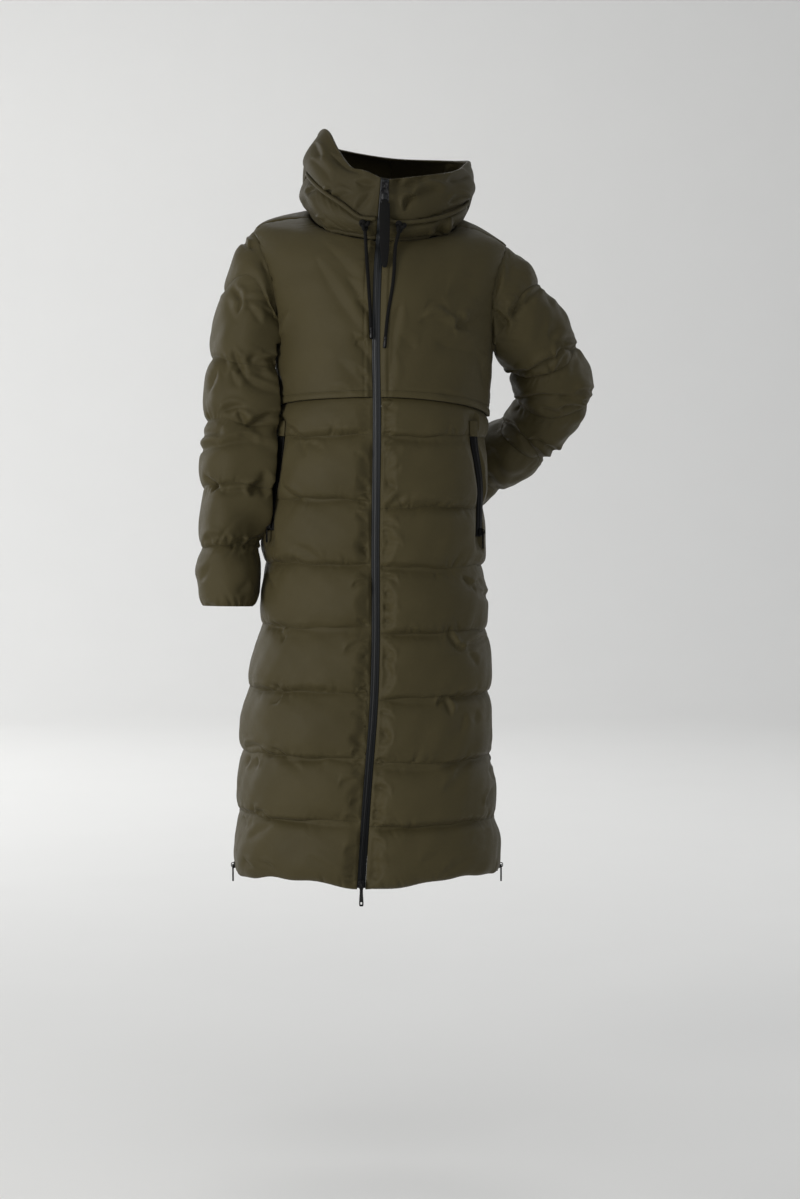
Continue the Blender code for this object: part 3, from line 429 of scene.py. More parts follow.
# Where the worn cloth has settled: centre, reach and move, in millimetres.
SETTLED = (
    (-122, 0, 104, 36, 15, 0, 0), (-108, 60, 44, 34, -12, 0, -4), (170, -8, 60, 40, -10, 0, 0),
    (-56, -88, 122, 30, -6, 0, -7), (-110, -5, 38, 30, -11, 0, -3), (-207, 0, -22, 46, -7, 0, 9),
    (200, 0, -25, 58, -5, 0, -10),
    (-30, -108, 100, 32, -3, 0, -22), (-21, -128, 0, 24, 0, 0, -8), (40, -132, 0, 20, 0, 0, -3),
)


def settled(places):
    """Places after the cloth near each centre has settled."""
    total = np.array(places, dtype=float)
    for x, y, z, reach, *move in SETTLED:
        near = np.exp(-np.sum((places * 1000 - (x, y, z)) ** 2, axis=-1) / reach ** 2)
        total += near[..., None] * np.array(move) / 1000
    return total


def pillow(way):
    """Section of a filled channel from its upper line, 0, to its lower line, 1: it sags."""
    way = np.clip(way, 0, 1) ** 1.35
    return (1 - np.abs(2 * way - 1) ** 2.5) ** 0.66


SEAMS = []                      # quilting lines, as rows of points, for the thread to follow
TOP_SEAMS = []                  # lines of stitching that show on a flat face


# -------------------- meshes
def length_along(grid, axis):
    """Running length along one axis of a grid of points, averaged over the other, from 0."""
    steps = np.linalg.norm(np.diff(grid, axis=axis), axis=-1)
    return np.concatenate(([0.0], np.cumsum(steps.mean(axis=1 - axis))))


def strip_between(first, second):
    """Triangles that join two runs of point numbers of different length, end to end."""
    faces = []
    i = 0
    k = 0
    while i < len(first) - 1 or k < len(second) - 1:
        ahead = (i + 1) / (len(first) - 1) <= (k + 1) / (len(second) - 1)
        if k == len(second) - 1 or (i < len(first) - 1 and ahead):
            faces.append((first[i], first[i + 1], second[k]))
            i += 1
        else:
            faces.append((first[i], second[k + 1], second[k]))
            k += 1
    return faces


def placed(name, data):
    """Named object of a mesh, curve, light or camera, put in the scene."""
    made = bpy.data.objects.new(name, data)
    bpy.context.scene.collection.objects.link(made)
    return made


def plain_mesh(made):
    """Mesh of an object as it shows, with its curves and modifiers worked out."""
    bpy.context.view_layer.update()
    seen = made.evaluated_get(bpy.context.evaluated_depsgraph_get())
    return bpy.data.meshes.new_from_object(seen)


def turned_out(mesh, weld=None):
    """Faces of a closed mesh turned outward, after points closer than weld are joined."""
    shape = bmesh.new()
    shape.from_mesh(mesh)
    if weld:
        bmesh.ops.remove_doubles(shape, verts=shape.verts, dist=weld)
    bmesh.ops.recalc_face_normals(shape, faces=shape.faces)
    shape.to_mesh(mesh)
    shape.free()


def make_object(name, places, faces, finishes, uv=None, inner_from=None):
    """Named object from points and faces; uv is a place in metres for each point.

    Faces from number inner_from on take the second finish.
    """
    mesh = bpy.data.meshes.new(name)
    mesh.from_pydata([tuple(p) for p in places], [], faces)
    for finish in finishes:
        mesh.materials.append(finish)
    if uv is not None:
        layer = mesh.uv_layers.new(name="cloth")
        corners = np.empty(len(mesh.loops), dtype=np.int32)
        mesh.loops.foreach_get("vertex_index", corners)
        layer.data.foreach_set("uv", np.asarray(uv, dtype=np.float32)[corners].ravel())
    if inner_from is not None and len(finishes) > 1:
        slots = np.zeros(len(mesh.polygons), dtype=np.int32)
        slots[inner_from:] = 1
        mesh.polygons.foreach_set("material_index", slots)
    mesh.shade_smooth()
    mesh.update()
    return placed(name, mesh)


def shell(name, outer, inner, finishes, tube=False, coarse=3):
    """Closed cloth wall: a fine outside, a plainer inside and edges that join the two.

    Rows run up the cloth and columns round it; a tube joins its last column to its first.
    """
    outer = settled(outer)
    inner = settled(inner)
    rows, columns = outer.shape[:2]
    keep_rows = np.unique(np.r_[np.arange(0, rows, coarse), rows - 1])
    last = columns if tube else columns - 1
    keep_columns = np.unique(np.r_[np.arange(0, columns, coarse), [] if tube else columns - 1])
    keep_columns = keep_columns.astype(int)
    plain = inner[np.ix_(keep_rows, keep_columns)]
    count = rows * columns
    number = np.arange(count).reshape(rows, columns)
    back = count + np.arange(plain.shape[0] * plain.shape[1]).reshape(plain.shape[:2])
    wrap = [np.concatenate((grid, grid[:, :1]), axis=1) if tube else grid
            for grid in (number, back)]

    def quads(grid, flip):
        a, b, c, d = grid[:-1, :-1], grid[:-1, 1:], grid[1:, 1:], grid[1:, :-1]
        order = (a, d, c, b) if flip else (a, b, c, d)
        return np.stack(order, axis=-1).reshape(-1, 4).tolist()

    outside = quads(wrap[0], False)
    inside = quads(wrap[1], True)
    edges = []
    for row in (0, -1):
        strip = strip_between(wrap[0][row].tolist(), wrap[1][row].tolist())
        edges += [face[::-1] for face in strip] if row == 0 else strip
    if not tube:
        for side in (0, -1):
            strip = strip_between(number[:, side].tolist(), back[:, side].tolist())
            edges += strip if side == 0 else [face[::-1] for face in strip]
    facing = np.cross(outer[:-1, 1:] - outer[:-1, :-1], outer[1:, :-1] - outer[:-1, :-1])
    towards = outer[:-1, :-1] - inner[:-1, :-1]
    faces = outside + edges + inside
    if np.sum(facing * towards) < 0:
        faces = [face[::-1] for face in faces]
    width = length_along(outer, 1)
    height = length_along(outer, 0)
    fine = np.stack(np.meshgrid(width, height), axis=-1)
    uv = np.concatenate((fine.reshape(-1, 2), fine[np.ix_(keep_rows, keep_columns)].reshape(-1, 2)))
    places = np.concatenate((outer.reshape(-1, 3), plain.reshape(-1, 3)))
    return make_object(name, places, faces, finishes, uv, inner_from=len(outside) + len(edges))


# -------------------- finishes
class Shade:
    """A value in a material: arithmetic on it adds Math nodes to the material."""

    def __init__(self, tree, socket):
        self.tree = tree
        self.socket = socket

    def _math(self, operation, first, second=None):
        node = self.tree.nodes.new("ShaderNodeMath")
        node.operation = operation
        connect(self.tree, node.inputs[0], first)
        if second is not None:
            connect(self.tree, node.inputs[1], second)
        return Shade(self.tree, node.outputs[0])

    def __add__(self, other):
        return self._math("ADD", self, other)

    def __radd__(self, other):
        return self._math("ADD", other, self)

    def __sub__(self, other):
        return self._math("SUBTRACT", self, other)

    def __rsub__(self, other):
        return self._math("SUBTRACT", other, self)

    def __mul__(self, other):
        return self._math("MULTIPLY", self, other)

    def __rmul__(self, other):
        return self._math("MULTIPLY", other, self)

    def __truediv__(self, other):
        return self._math("DIVIDE", self, other)

    def sine(self):
        return self._math("SINE", self)

    def size(self):
        return self._math("ABSOLUTE", self)


def connect(tree, socket, value):
    if isinstance(value, Shade):
        tree.links.new(value.socket, socket)
    else:
        socket.default_value = value


class Finish:
    """A material being made: one Principled shader and the nodes that feed it."""

    def __init__(self, name, **constants):
        self.made = bpy.data.materials.new(name)
        self.made.use_nodes = True
        self.tree = self.made.node_tree
        self.shader = self.tree.nodes["Principled BSDF"]
        for socket, value in constants.items():
            self.shader.inputs[socket.replace("_", " ")].default_value = value

    def node(self, kind, settings=None, sockets=None, output=0):
        node = self.tree.nodes.new(kind)
        for name, value in (settings or {}).items():
            setattr(node, name, value)
        for name, value in (sockets or {}).items():
            connect(self.tree, node.inputs[name], value)
        return Shade(self.tree, node.outputs[output])

    def place(self):
        return self.node("ShaderNodeTexCoord", output="Object")

    def along_cloth(self):
        """The two running lengths of the cloth, in metres, from its own map."""
        uv = self.node("ShaderNodeUVMap", {"uv_map": "cloth"})
        parts = self.tree.nodes.new("ShaderNodeSeparateXYZ")
        connect(self.tree, parts.inputs[0], uv)
        return Shade(self.tree, parts.outputs[0]), Shade(self.tree, parts.outputs[1])

    def noise(self, scale, detail):
        return self.node("ShaderNodeTexNoise", None,
                         {"Vector": self.place(), "Scale": scale, "Detail": detail}, "Fac")

    def between(self, share, first, second):
        """Colour between two colours."""
        return self.node("ShaderNodeMix", {"data_type": "RGBA", "clamp_factor": True},
                         {0: share, 6: (*first, 1.0), 7: (*second, 1.0)}, 2)

    def stretch(self, value, low, high, to_low=0.0, to_high=1.0):
        return self.node("ShaderNodeMapRange", None,
                         {"Value": value, "From Min": low, "From Max": high,
                          "To Min": to_low, "To Max": to_high})

    def finish(self, colour, roughness, bump, strength, distance):
        connect(self.tree, self.shader.inputs["Base Color"], colour)
        connect(self.tree, self.shader.inputs["Roughness"], roughness)
        raised = self.node("ShaderNodeBump", None,
                           {"Height": bump, "Strength": strength, "Distance": distance})
        connect(self.tree, self.shader.inputs["Normal"], raised)
        return self.made


THREAD_PITCH = 0.0012
OLIVE_LIGHT = (0.0585, 0.0474, 0.0200)
OLIVE_DARK = (0.0490, 0.0396, 0.0162)


def woven(finish, pitch):
    """Height of a plain weave: warp and weft pass over each other in turn."""
    u, v = finish.along_cloth()
    warp = (u * (2 * math.pi / pitch)).sine()
    weft = (v * (2 * math.pi / pitch)).sine()
    return warp * weft


def shell_cloth(name, tone_and_painted_shade):
    """Matt olive shell of fine plain weave with a soft bloom."""
    cloth = Finish(name, Sheen_Weight=0.02, Sheen_Roughness=0.5,
                   Specular_IOR_Level=0.13)
    broad = cloth.noise(9.0, 3.0)
    grain = cloth.noise(900.0, 2.0)
    crinkle = cloth.noise(150.0, 4.0)
    tone = cloth.stretch(broad * 0.65 + grain * 0.35, 0.35, 0.65)
    # Both olives are scaled by the share given: 0.96 sets the shell's own tone, while 0.76 for the
    # hood's copy is painted shade.
    colour = cloth.between(tone, [tone_and_painted_shade * value for value in OLIVE_DARK],
                           [tone_and_painted_shade * value for value in OLIVE_LIGHT])
    roughness = cloth.stretch(broad + crinkle, 0.7, 1.3, 0.50, 0.62)
    relief = woven(cloth, THREAD_PITCH) * 0.12 + crinkle * 0.55 + grain * 0.25
    return cloth.finish(colour, roughness, relief, 0.35, 0.0012)


def lining_cloth():
    """Smooth dark lining, plain and a little glossier than the shell."""
    cloth = Finish("dark_olive_lining", Sheen_Weight=0.1, Specular_IOR_Level=0.4)
    broad = cloth.noise(14.0, 3.0)
    crinkle = cloth.noise(120.0, 3.0)
    colour = cloth.between(broad, (0.020, 0.018, 0.012), (0.030, 0.026, 0.016))
    roughness = cloth.stretch(crinkle, 0.3, 0.7, 0.38, 0.50)
    return cloth.finish(colour, roughness, crinkle + woven(cloth, THREAD_PITCH) * 0.1, 0.3, 0.001)


def sewing_thread():
    thread = Finish("olive_thread", Specular_IOR_Level=0.1)
    twist = thread.noise(2500.0, 1.0)
    colour = thread.between(twist, (0.022, 0.018, 0.0085), (0.034, 0.028, 0.013))
    return thread.finish(colour, thread.stretch(twist, 0.3, 0.7, 0.5, 0.65), twist, 0.4, 0.0003)


def braid():
    """Black braided cord: strands cross in both directions along and round it."""
    cord = Finish("black_braid", Sheen_Weight=0.02, Sheen_Roughness=0.4, Specular_IOR_Level=0.08)
    u, v = cord.along_cloth()
    about, up = u * (2 * math.pi / 0.0022), v * (2 * math.pi / 0.0028)
    strands = (about + up).sine() * (about - up).sine()
    fuzz = cord.noise(1800.0, 2.0)
    colour = cord.between(cord.stretch(strands + fuzz * 0.6, -0.6, 1.2), (0.0030, 0.0030, 0.0029),
                          (0.0105, 0.0100, 0.0094))
    roughness = cord.stretch(fuzz, 0.3, 0.7, 0.62, 0.78)
    return cord.finish(colour, roughness, strands * 0.6 + fuzz * 0.4, 0.6, 0.0005)


def rubbered_strap():
    """Soft black moulded strap with a faint grain."""
    strap = Finish("soft_black_strap", Specular_IOR_Level=0.08)
    grain = strap.noise(1600.0, 3.0)
    broad = strap.noise(60.0, 2.0)
    colour = strap.between(grain, (0.0035, 0.0034, 0.0033), (0.0065, 0.0063, 0.0060))
    roughness = strap.stretch(broad + grain, 0.7, 1.3, 0.48, 0.62)
    return strap.finish(colour, roughness, grain, 0.25, 0.0003)


def dark_metal():
    """Black plating, worn a little brighter where fingers rub it."""
    metal = Finish("black_plated_metal", Metallic=1.0, Specular_Tint=(0.1, 0.1, 0.1, 1.0))
    wear = metal.noise(220.0, 4.0)
    fine = metal.noise(2600.0, 2.0)
    colour = metal.between(metal.stretch(wear, 0.35, 0.75), (0.012, 0.012, 0.013),
                           (0.042, 0.041, 0.040))
    roughness = metal.stretch(wear + fine, 0.7, 1.3, 0.26, 0.44)
    return metal.finish(colour, roughness, fine * 0.5 + wear * 0.5, 0.2, 0.0002)


SHELL = shell_cloth("olive_shell_cloth", 0.96)
# The hood, neck band and piped tunnel take a copy of the shell darkened to 0.76: painted shade over
# them.
SHADED_HOOD_SHELL = shell_cloth("olive_hood_cloth_painted_shade", 0.76)
INSIDE = lining_cloth()
THREAD = sewing_thread()
BRAID = braid()
STRAP_FINISH = rubbered_strap()
METAL = dark_metal()


# -------------------- folds
# Each row: x and z of both ends, bow, half width and depth in millimetres. A trough runs between
# the ends with a low ridge on its left going from the first end to the second; depth under 0 is a
# ridge. The hood's side folds are placed by y and z.
FRONT_FOLDS_RIGHT = (
    (-137, -336, -116, -358, 0, 4.8, 3), (-124, -357, -6, -347, -3.2, 5.6, 2.2),
    (-119, -362, -104, -389, 1.6, 4, 1.8), (-110, -365, -76, -379, 1.6, 4.8, 1.6),
    (-140, -435, -113, -460, -1.6, 4.8, 2.6), (-113, -460, -38, -456, -1.6, 5.6, 1.6),
    (-118, -530, -80, -559, 3.2, 6.4, 2.6), (-162, -562, -111, -557, 4.8, 5.6, 2.4),
    (-111, -559, -13, -562, -1.6, 4.8, 1.4), (-169, -575, -154, -602, -1.6, 4, 2.4),
    (-34, -594, -8, -588, 3.2, 3.5, 3.2), (-27, -476, -11, -492, 0, 4, 2.4),
    (-22, -530, -10, -549, 1.6, 4, 2.6), (-29, -381, -11, -397, 1.6, 4, 1.8),
    (-26, -419, -10, -432, -1.6, 3.5, 1.8), (-24, -457, -10, -465, 1.6, 3.2, 2),
    (-169, -666, -134, -661, 3.2, 4.8, 2.2), (-156, -654, -143, -685, 1.6, 3.2, 2.6),
    (-143, -685, -135, -664, 1.6, 3.2, 2.4), (-134, -661, -35, -666, -3.2, 5.6, 1.4),
    (-45, -699, -13, -680, 1.6, 4.8, 2.6), (-26, -645, -10, -658, 0, 3.5, 2),
    (-32, -724, -11, -737, 1.6, 4, 2), (-194, -764, -159, -766, 1.6, 4, 2.4),
    (-162, -753, -148, -771, 4.8, 3.2, 3.4), (-148, -771, -161, -785, 3.2, 2.9, 3),
    (-146, -766, -54, -764, 3.2, 5.6, 2), (-140, -756, -131, -782, -1.6, 4, 1.4),
    (-29, -766, -11, -766, 1.6, 3.2, 2.4), (-35, -794, -13, -810, 3.2, 4.8, 2.4),
    (-38, -831, -16, -847, 1.6, 4.8, 2.2), (-207, -861, -178, -855, 3.2, 3.5, 3),
    (-178, -858, -156, -866, -3.2, 3.2, 3.2), (-159, -855, -137, -872, 3.2, 3.5, 3.6),
    (-140, -871, -70, -868, -3.2, 4.8, 2.4), (-70, -869, -22, -876, 0, 4, 2),
    (-201, -874, -207, -893, 0, 3.2, 2.6), (-188, -874, -185, -890, 0, 2.9, 2.2),
    (-145, -874, -113, -890, 3.2, 4.8, 1.8), (-35, -861, -19, -855, 1.6, 3.2, 2.2),
    (-54, -912, -26, -903, 3.2, 4.8, 2.2), (-38, -941, -19, -934, 1.6, 3.5, 2.2),
    (-45, -960, -22, -969, 1.6, 4, 2), (-220, -965, -188, -966, 1.6, 3.2, 2.4),
    (-188, -963, -172, -957, 1.6, 3.2, 3.4), (-178, -958, -166, -973, 1.6, 2.9, 3),
    (-169, -969, -38, -977, 0, 4.8, 2), (-213, -973, -204, -989, 0, 2.9, 2.2),
    (-194, -1006, -162, -979, 1.6, 6.4, 1.6), (-201, -1043, -188, -1059, -1.6, 4, 2.4),
    (-178, -1046, -156, -1059, 1.6, 4, 2.2), (-102, -1027, -38, -1065, -3.2, 8, 1.6),
    (-46, -1017, -26, -1008, 1.6, 4, 1.6),
)
FRONT_FOLDS_LEFT = (
    (19, -357, 153, -362, -4.8, 6.4, 2.6), (22, -389, 43, -373, 1.6, 4, 2.4),
    (22, -413, 41, -401, -1.6, 3.5, 2), (19, -429, 35, -438, 1.6, 3.2, 2),
    (16, -371, 32, -365, 1.6, 3.2, 1.8), (21, -475, 48, -448, 3.2, 6.4, 3),
    (41, -467, 153, -468, 3.2, 6.4, 2), (16, -492, 38, -499, 1.6, 4, 1.8),
    (19, -522, 44, -530, 3.2, 4.8, 1.6), (21, -562, 140, -573, -3.2, 6.4, 2.6),
    (16, -581, 38, -591, 3.2, 4, 2.2), (16, -604, 32, -607, 0, 3.2, 1.8),
    (140, -581, 153, -604, 1.6, 3.5, 3.2), (153, -604, 164, -586, 1.6, 3.5, 3),
    (159, -607, 181, -623, 1.6, 4, 3), (165, -588, 173, -616, 0, 3.2, 1.8),
    (19, -669, 121, -675, -1.6, 6.4, 2.6), (16, -623, 38, -635, -1.6, 4.8, 1.8),
    (119, -664, 126, -693, 0, 3.5, 3.4), (126, -685, 141, -699, -3.2, 4, 3.4),
    (140, -699, 180, -681, 1.6, 4.8, 3), (146, -704, 156, -724, 1.6, 4, 1.8),
    (16, -696, 32, -712, 3.2, 4, 2.2), (14, -718, 29, -737, 1.6, 3.5, 1.8),
    (16, -775, 105, -780, -3.2, 6.4, 2.8), (99, -785, 118, -771, 1.6, 3.5, 3.2),
    (111, -772, 118, -801, 1.6, 4, 3.6), (118, -775, 184, -775, 3.2, 5.6, 2.6),
    (140, -801, 130, -829, 0, 4.8, 1.6), (159, -798, 153, -817, 0, 4, 1.4),
    (9, -794, 32, -804, 1.6, 3.5, 2.2), (9, -820, 25, -845, 3.2, 4, 1.8),
    (9, -882, 105, -887, -3.2, 6.4, 2.6), (105, -887, 191, -874, 1.6, 5.6, 2.6),
    (124, -899, 156, -880, 0, 4.8, 1.8), (105, -922, 149, -896, 1.6, 5.6, 1.6),
    (172, -954, 186, -928, 1.6, 3.5, 3.2), (183, -895, 188, -919, 0, 3.2, 2.4),
    (6, -912, 25, -928, 3.2, 4, 2), (3, -982, 41, -976, -1.6, 4.8, 2.8),
    (38, -979, 188, -973, -3.2, 6.4, 2.6), (0, -995, 16, -1011, 1.6, 4, 2),
    (-3, -1027, 19, -1039, 1.6, 4.8, 1.8), (105, -1062, 175, -1036, 3.2, 8, 1.6),
    (73, -1039, 105, -1024, 1.6, 8, 1), (153, -1011, 184, -995, 1.6, 6.4, 1.4),
)
YOKE_FOLDS_RIGHT = (
    (-89, -78, -13, -196, -4.8, 8, 1.3), (-76, -53, -16, -133, 3.2, 8, 1),
    (-41, -107, -5, -168, 1.6, 6.4, 1.6), (-27, -139, -3, -168, 1.6, 4.8, 2),
    (-32, -196, -2, -244, 1.6, 6.4, 2.6), (-54, -238, -13, -288, 3.2, 8, 1.2),
    (-26, -247, -5, -282, 1.6, 4.8, 1.4), (-29, -212, -5, -196, 0, 4, 1.4),
    (-148, -193, -134, -156, 1.6, 4.8, -1.4), (-154, -253, -143, -285, 1.6, 4.8, 1.6),
    (-151, -211, -143, -187, 1.6, 4.8, 1.4), (-70, -279, -35, -292, 1.6, 6.4, 0.9),
)
YOKE_FOLDS_LEFT = (
    (78, -166, 120, -163, 7, 6.5, -2.3), (119, -163, 128, -183, 3, 5.5, -2.2),
    (128, -174, 150, -176, -3, 7.5, 3), (126, -186, 150, -189, -2, 5.5, -1.8),
    (146, -180, 182, -152, 4, 8, 2), (72, -176, 118, -176, 5, 7, 1.6),
    (99, -206, 172, -222, -4.8, 12, 1.6), (41, -148, 29, -222, -3.2, 6.4, 1.4),
    (29, -222, 21, -292, 0, 6.4, 1.2), (162, -222, 175, -273, 1.6, 6.4, 1.8),
    (118, -133, 165, -117, 3.2, 9.5, 1), (102, -285, 153, -304, 0, 4.8, 1),
    (41, -196, 64, -218, 0, 8, 1),
)
SLEEVE_FOLDS_RIGHT = (
    (-229, -114, -214, -139, 1.6, 4.2, 4), (-214, -136, -219, -159, 0, 3.5, 3.6),
    (-211, -135, -161, -143, 3.2, 4.2, 2), (-203, -146, -189, -173, 1.6, 4.2, 2),
    (-180, -151, -156, -194, 1.6, 4.8, 3), (-227, -217, -209, -262, -1.6, 4.8, 3.2),
    (-209, -262, -177, -287, -3.2, 4.8, 3.2), (-197, -254, -164, -287, -1.6, 5.6, 2.2),
    (-190, -231, -155, -236, 1.6, 5.6, 5), (-180, -237, -168, -260, 0, 4.8, 4.6),
    (-206, -236, -197, -223, 0, 4, 2), (-245, -223, -238, -252, 1.6, 4.8, 1.8),
    (-230, -252, -219, -278, -1.6, 4.8, 2), (-251, -252, -259, -284, 0, 4, 2.4),
    (-245, -316, -209, -308, 3.2, 4.8, 3.6), (-219, -315, -206, -339, -1.6, 4.2, 4.2),
    (-208, -340, -187, -318, -1.6, 4.2, 4.2), (-190, -319, -156, -329, 1.6, 4.8, 3),
    (-180, -342, -156, -368, 1.6, 8, 4.6), (-277, -380, -238, -371, 3.2, 6.4, 4.2),
    (-245, -372, -200, -366, 3.2, 6.4, 3.4), (-274, -356, -238, -347, 1.6, 6.4, 2),
    (-219, -352, -200, -368, 3.2, 4, 2.6), (-200, -361, -180, -397, 1.6, 6.4, 1.6),
    (-267, -419, -245, -442, -1.6, 4.2, 3.6), (-254, -427, -258, -445, 0, 3.5, 3),
    (-245, -445, -206, -438, -3.2, 4.8, 2.6), (-209, -451, -197, -425, 1.6, 3.9, 4.4),
    (-198, -413, -200, -453, 1.6, 3.5, 4.6), (-190, -432, -171, -445, 1.6, 6.4, 5),
    (-238, -515, -229, -536, 0, 3.9, 3.2), (-229, -535, -221, -519, 0, 3.5, 3),
    (-221, -519, -209, -536, 0, 3.5, 3.2), (-211, -536, -198, -515, 0, 3.9, 3.8),
    (-197, -514, -185, -532, 0, 3.9, 4), (-270, -523, -238, -515, 1.6, 4.8, 2.2),
    (-208, -589, -222, -609, 0, 4.8, 1.6), (-274, -589, -261, -560, 0, 4.8, 1.8),
    (-270, -625, -251, -633, 0, 4, 1.8), (-211, -33, -205, -56, 0, 3.2, 2.2),
    (-201, -54, -187, -45, 1.6, 3.5, 2.4), (-180, -69, -171, -91, 1.6, 4.2, 3),
    (-238, -136, -222, -172, -1.6, 6.4, 1.4), (-216, -554, -190, -541, 1.6, 6.4, 1.2),
)
SLEEVE_FOLDS_LEFT = (
    (219, -160, 244, -139, 1.6, 5.8, 3.6), (243, -140, 272, -112, 0, 4.9, 3),
    (201, -35, 208, -69, 0, 3.3, 3.2), (206, -68, 191, -135, 0, 4.9, 2.2),
    (188, -149, 213, -190, 3.3, 6.6, 4), (213, -159, 216, -182, 0, 4.9, 2.4),
    (180, -129, 193, -203, -1.6, 4.9, 3), (213, -36, 219, -60, 0, 3.3, 2.4),
    (282, -192, 305, -178, 3.3, 6.6, 2.2), (292, -205, 322, -192, 1.6, 4.9, 2),
    (229, -244, 256, -244, -1.6, 4.3, 5), (252, -244, 299, -223, 0, 4.9, 5),
    (295, -225, 309, -208, 1.6, 4.3, 4.6), (307, -208, 335, -206, -3.3, 4.3, 4.2),
    (297, -246, 315, -215, 0, 4.9, 2.4), (239, -291, 302, -284, 3.3, 4, 3.6),
    (299, -282, 345, -294, -1.6, 4.3, 3.4), (305, -304, 345, -304, 1.6, 4.6, 4.6),
    (276, -302, 309, -314, -1.6, 4.9, 2.4), (325, -281, 361, -277, 1.6, 4.9, 2.4),
    (338, -294, 358, -287, 0, 4, 2), (218, -327, 246, -347, 3.3, 4.3, 3.8),
    (246, -345, 279, -393, 0, 4.9, 5), (256, -355, 282, -362, 3.3, 4, 3.6),
    (282, -362, 305, -380, 1.6, 4, 3.6), (269, -366, 285, -390, 0, 3.3, 3.2),
    (285, -380, 292, -396, 0, 3.3, 2.6), (203, -376, 216, -423, -1.6, 8.2, 1.8),
    (186, -409, 213, -446, 0, 6.6, 2.4), (186, -385, 203, -371, 1.6, 6.6, 2.2),
    (272, -122, 285, -149, 1.6, 4.9, 1.8),
)
COLLAR_FOLDS = (
    (-107, 37, -91, 44, 1.6, 3.5, 2.6), (-110, 34, -84, -17, -4.8, 4.8, 2.4),
    (-92, -3, -81, -11, 0, 3.2, 3), (-91, -11, -68, -33, -1.6, 4.8, 1.8),
    (120, -1, 91, -37, 1.6, 3.2, 3.6), (125, -11, 99, -40, 0, 3.5, -1.6),
    (86, -37, 102, -33, 1.6, 3.2, 2.6), (-46, -33, -13, -40, 1.6, 4.8, 1.2),
    (48, -24, 80, -11, 3.2, 6.4, 1.2),
)
HOOD_FOLDS = (
    (-28, 50, 3, 44, -3.2, 5.6, 1.6), (48, 5, 67, 26, 4.8, 4.8, 2.8),
    (64, 24, 112, 41, 3.2, 6.4, 2.4), (48, 41, 86, 66, -3.2, 6.4, 2.2),
    (22, 31, 48, 60, 1.6, 6.4, 1.8), (-100, 89, -71, 53, 3.2, 8, 1.4),
    (-81, 31, -68, 37, 0, 3.5, 2.2), (-62, 105, -20, 60, 6.4, 8, 1.8),
    (-71, 15, -36, 31, 3.2, 6.4, 1.4), (73, 47, 106, 60, 1.6, 8, 1.4),
    (118, 53, 157, 66, 1.6, 6.4, 2), (122, 18, 154, 31, 1.6, 4.8, 1.6),
    (-29, 8, -4, 31, 0, 4.8, 1.4), (-97, 118, -84, 89, 0, 6.4, 1.6),
)
HOOD_SIDE_FOLDS = (
    (40, 128, 120, 92, 6, 9, 2.6), (96, 108, 176, 40, 8, 10, 3), (60, 70, 130, 30, -5, 7, 2.4),
    (140, 96, 214, 62, 6, 9, 2.4), (150, 30, 206, -30, 5, 8, 2.8), (190, 40, 236, -8, 4, 8, 2.4),
    (110, 20, 150, -14, -3, 6, 2.4), (176, -20, 214, -58, 3, 7, 2.2), (10, 96, 52, 72, 3, 6, 2),
)
HOOD_BACK_FOLDS = (
    (-70, 60, -20, -10, 6, 9, 2.6), (-10, 90, 20, 20, -5, 9, 2.2), (60, 70, 100, -6, -6, 9, 2.8),
    (0, -10, -30, -50, 4, 7, 2.4), (40, 0, 70, -48, -4, 7, 2.4), (-50, -20, 10, -44, 5, 7, 2),
    (100, 30, 130, -16, 4, 7, 2.2), (-90, 10, -60, -40, 4, 7, 2.2),
)
BACK_FOLDS = (
    (-168, -350, -120, -372, 2, 5, 2.4), (-120, -366, -60, -358, -3, 6, 1.6),
    (40, -352, 78, -374, 2, 5, 2.2), (120, -360, 160, -342, -2, 5, 2.4),
    (-60, -455, -38, -480, 1, 4, 2.6), (-38, -470, 30, -462, 3, 6, 1.6),
    (96, -458, 118, -486, -2, 4.5, 2.8), (130, -470, 172, -456, 2, 5, 2.2),
    (-176, -470, -140, -452, -2, 5, 2.4), (-104, -556, -82, -582, 2, 4, 2.8),
    (-82, -572, -20, -564, -3, 6, 1.6), (36, -566, 64, -540, 2, 5, 2.4),
    (110, -572, 168, -556, 3, 6, 2), (-170, -560, -136, -584, 2, 4.5, 2.4),
    (-40, -660, -16, -690, 1.6, 4, 2.8), (-16, -676, 52, -668, 3, 6, 1.6),
    (92, -662, 112, -640, -1.6, 4.5, 2.4), (-180, -668, -120, -656, 3, 5.5, 2.2),
    (140, -676, 178, -690, 2, 4.5, 2.4), (-128, -766, -104, -794, 2, 4, 3),
    (-104, -778, -44, -770, -3, 6, 1.6), (20, -772, 44, -746, 2, 5, 2.4),
    (70, -766, 96, -792, 2, 4, 2.6), (-196, -772, -160, -756, 2, 5, 2.2),
    (150, -778, 192, -764, -2, 5, 2.2), (-60, -868, -34, -896, 2, 4, 2.8),
    (-34, -882, 40, -874, 3, 6, 1.6), (104, -876, 128, -850, 2, 5, 2.4),
    (-190, -880, -150, -866, 2, 5, 2.2), (160, -884, 196, -900, -2, 5, 2.2),
    (-140, -970, -112, -998, 2, 4, 2.6), (-20, -976, 36, -968, -3, 6, 1.6),
    (60, -974, 86, -1000, 2, 4, 2.6), (150, -980, 198, -966, 2, 5, 2.2),
)
YOKE_FOLDS_BACK = (
    (-150, -150, -60, -190, 8, 12, 1.6), (150, -150, 60, -190, 8, 12, 1.6),
    (-140, -200, -90, -260, 4, 7, 2), (140, -196, 96, -262, -4, 7, 2),
    (-30, -80, 40, -96, 5, 11, 1.2), (-60, -250, 20, -262, 5, 9, 1.2),
    (30, -280, 90, -272, 3, 6, 1.2), (-120, -60, -70, -110, 4, 9, 1.2),
    (118, -64, 76, -118, -4, 9, 1.2),
)


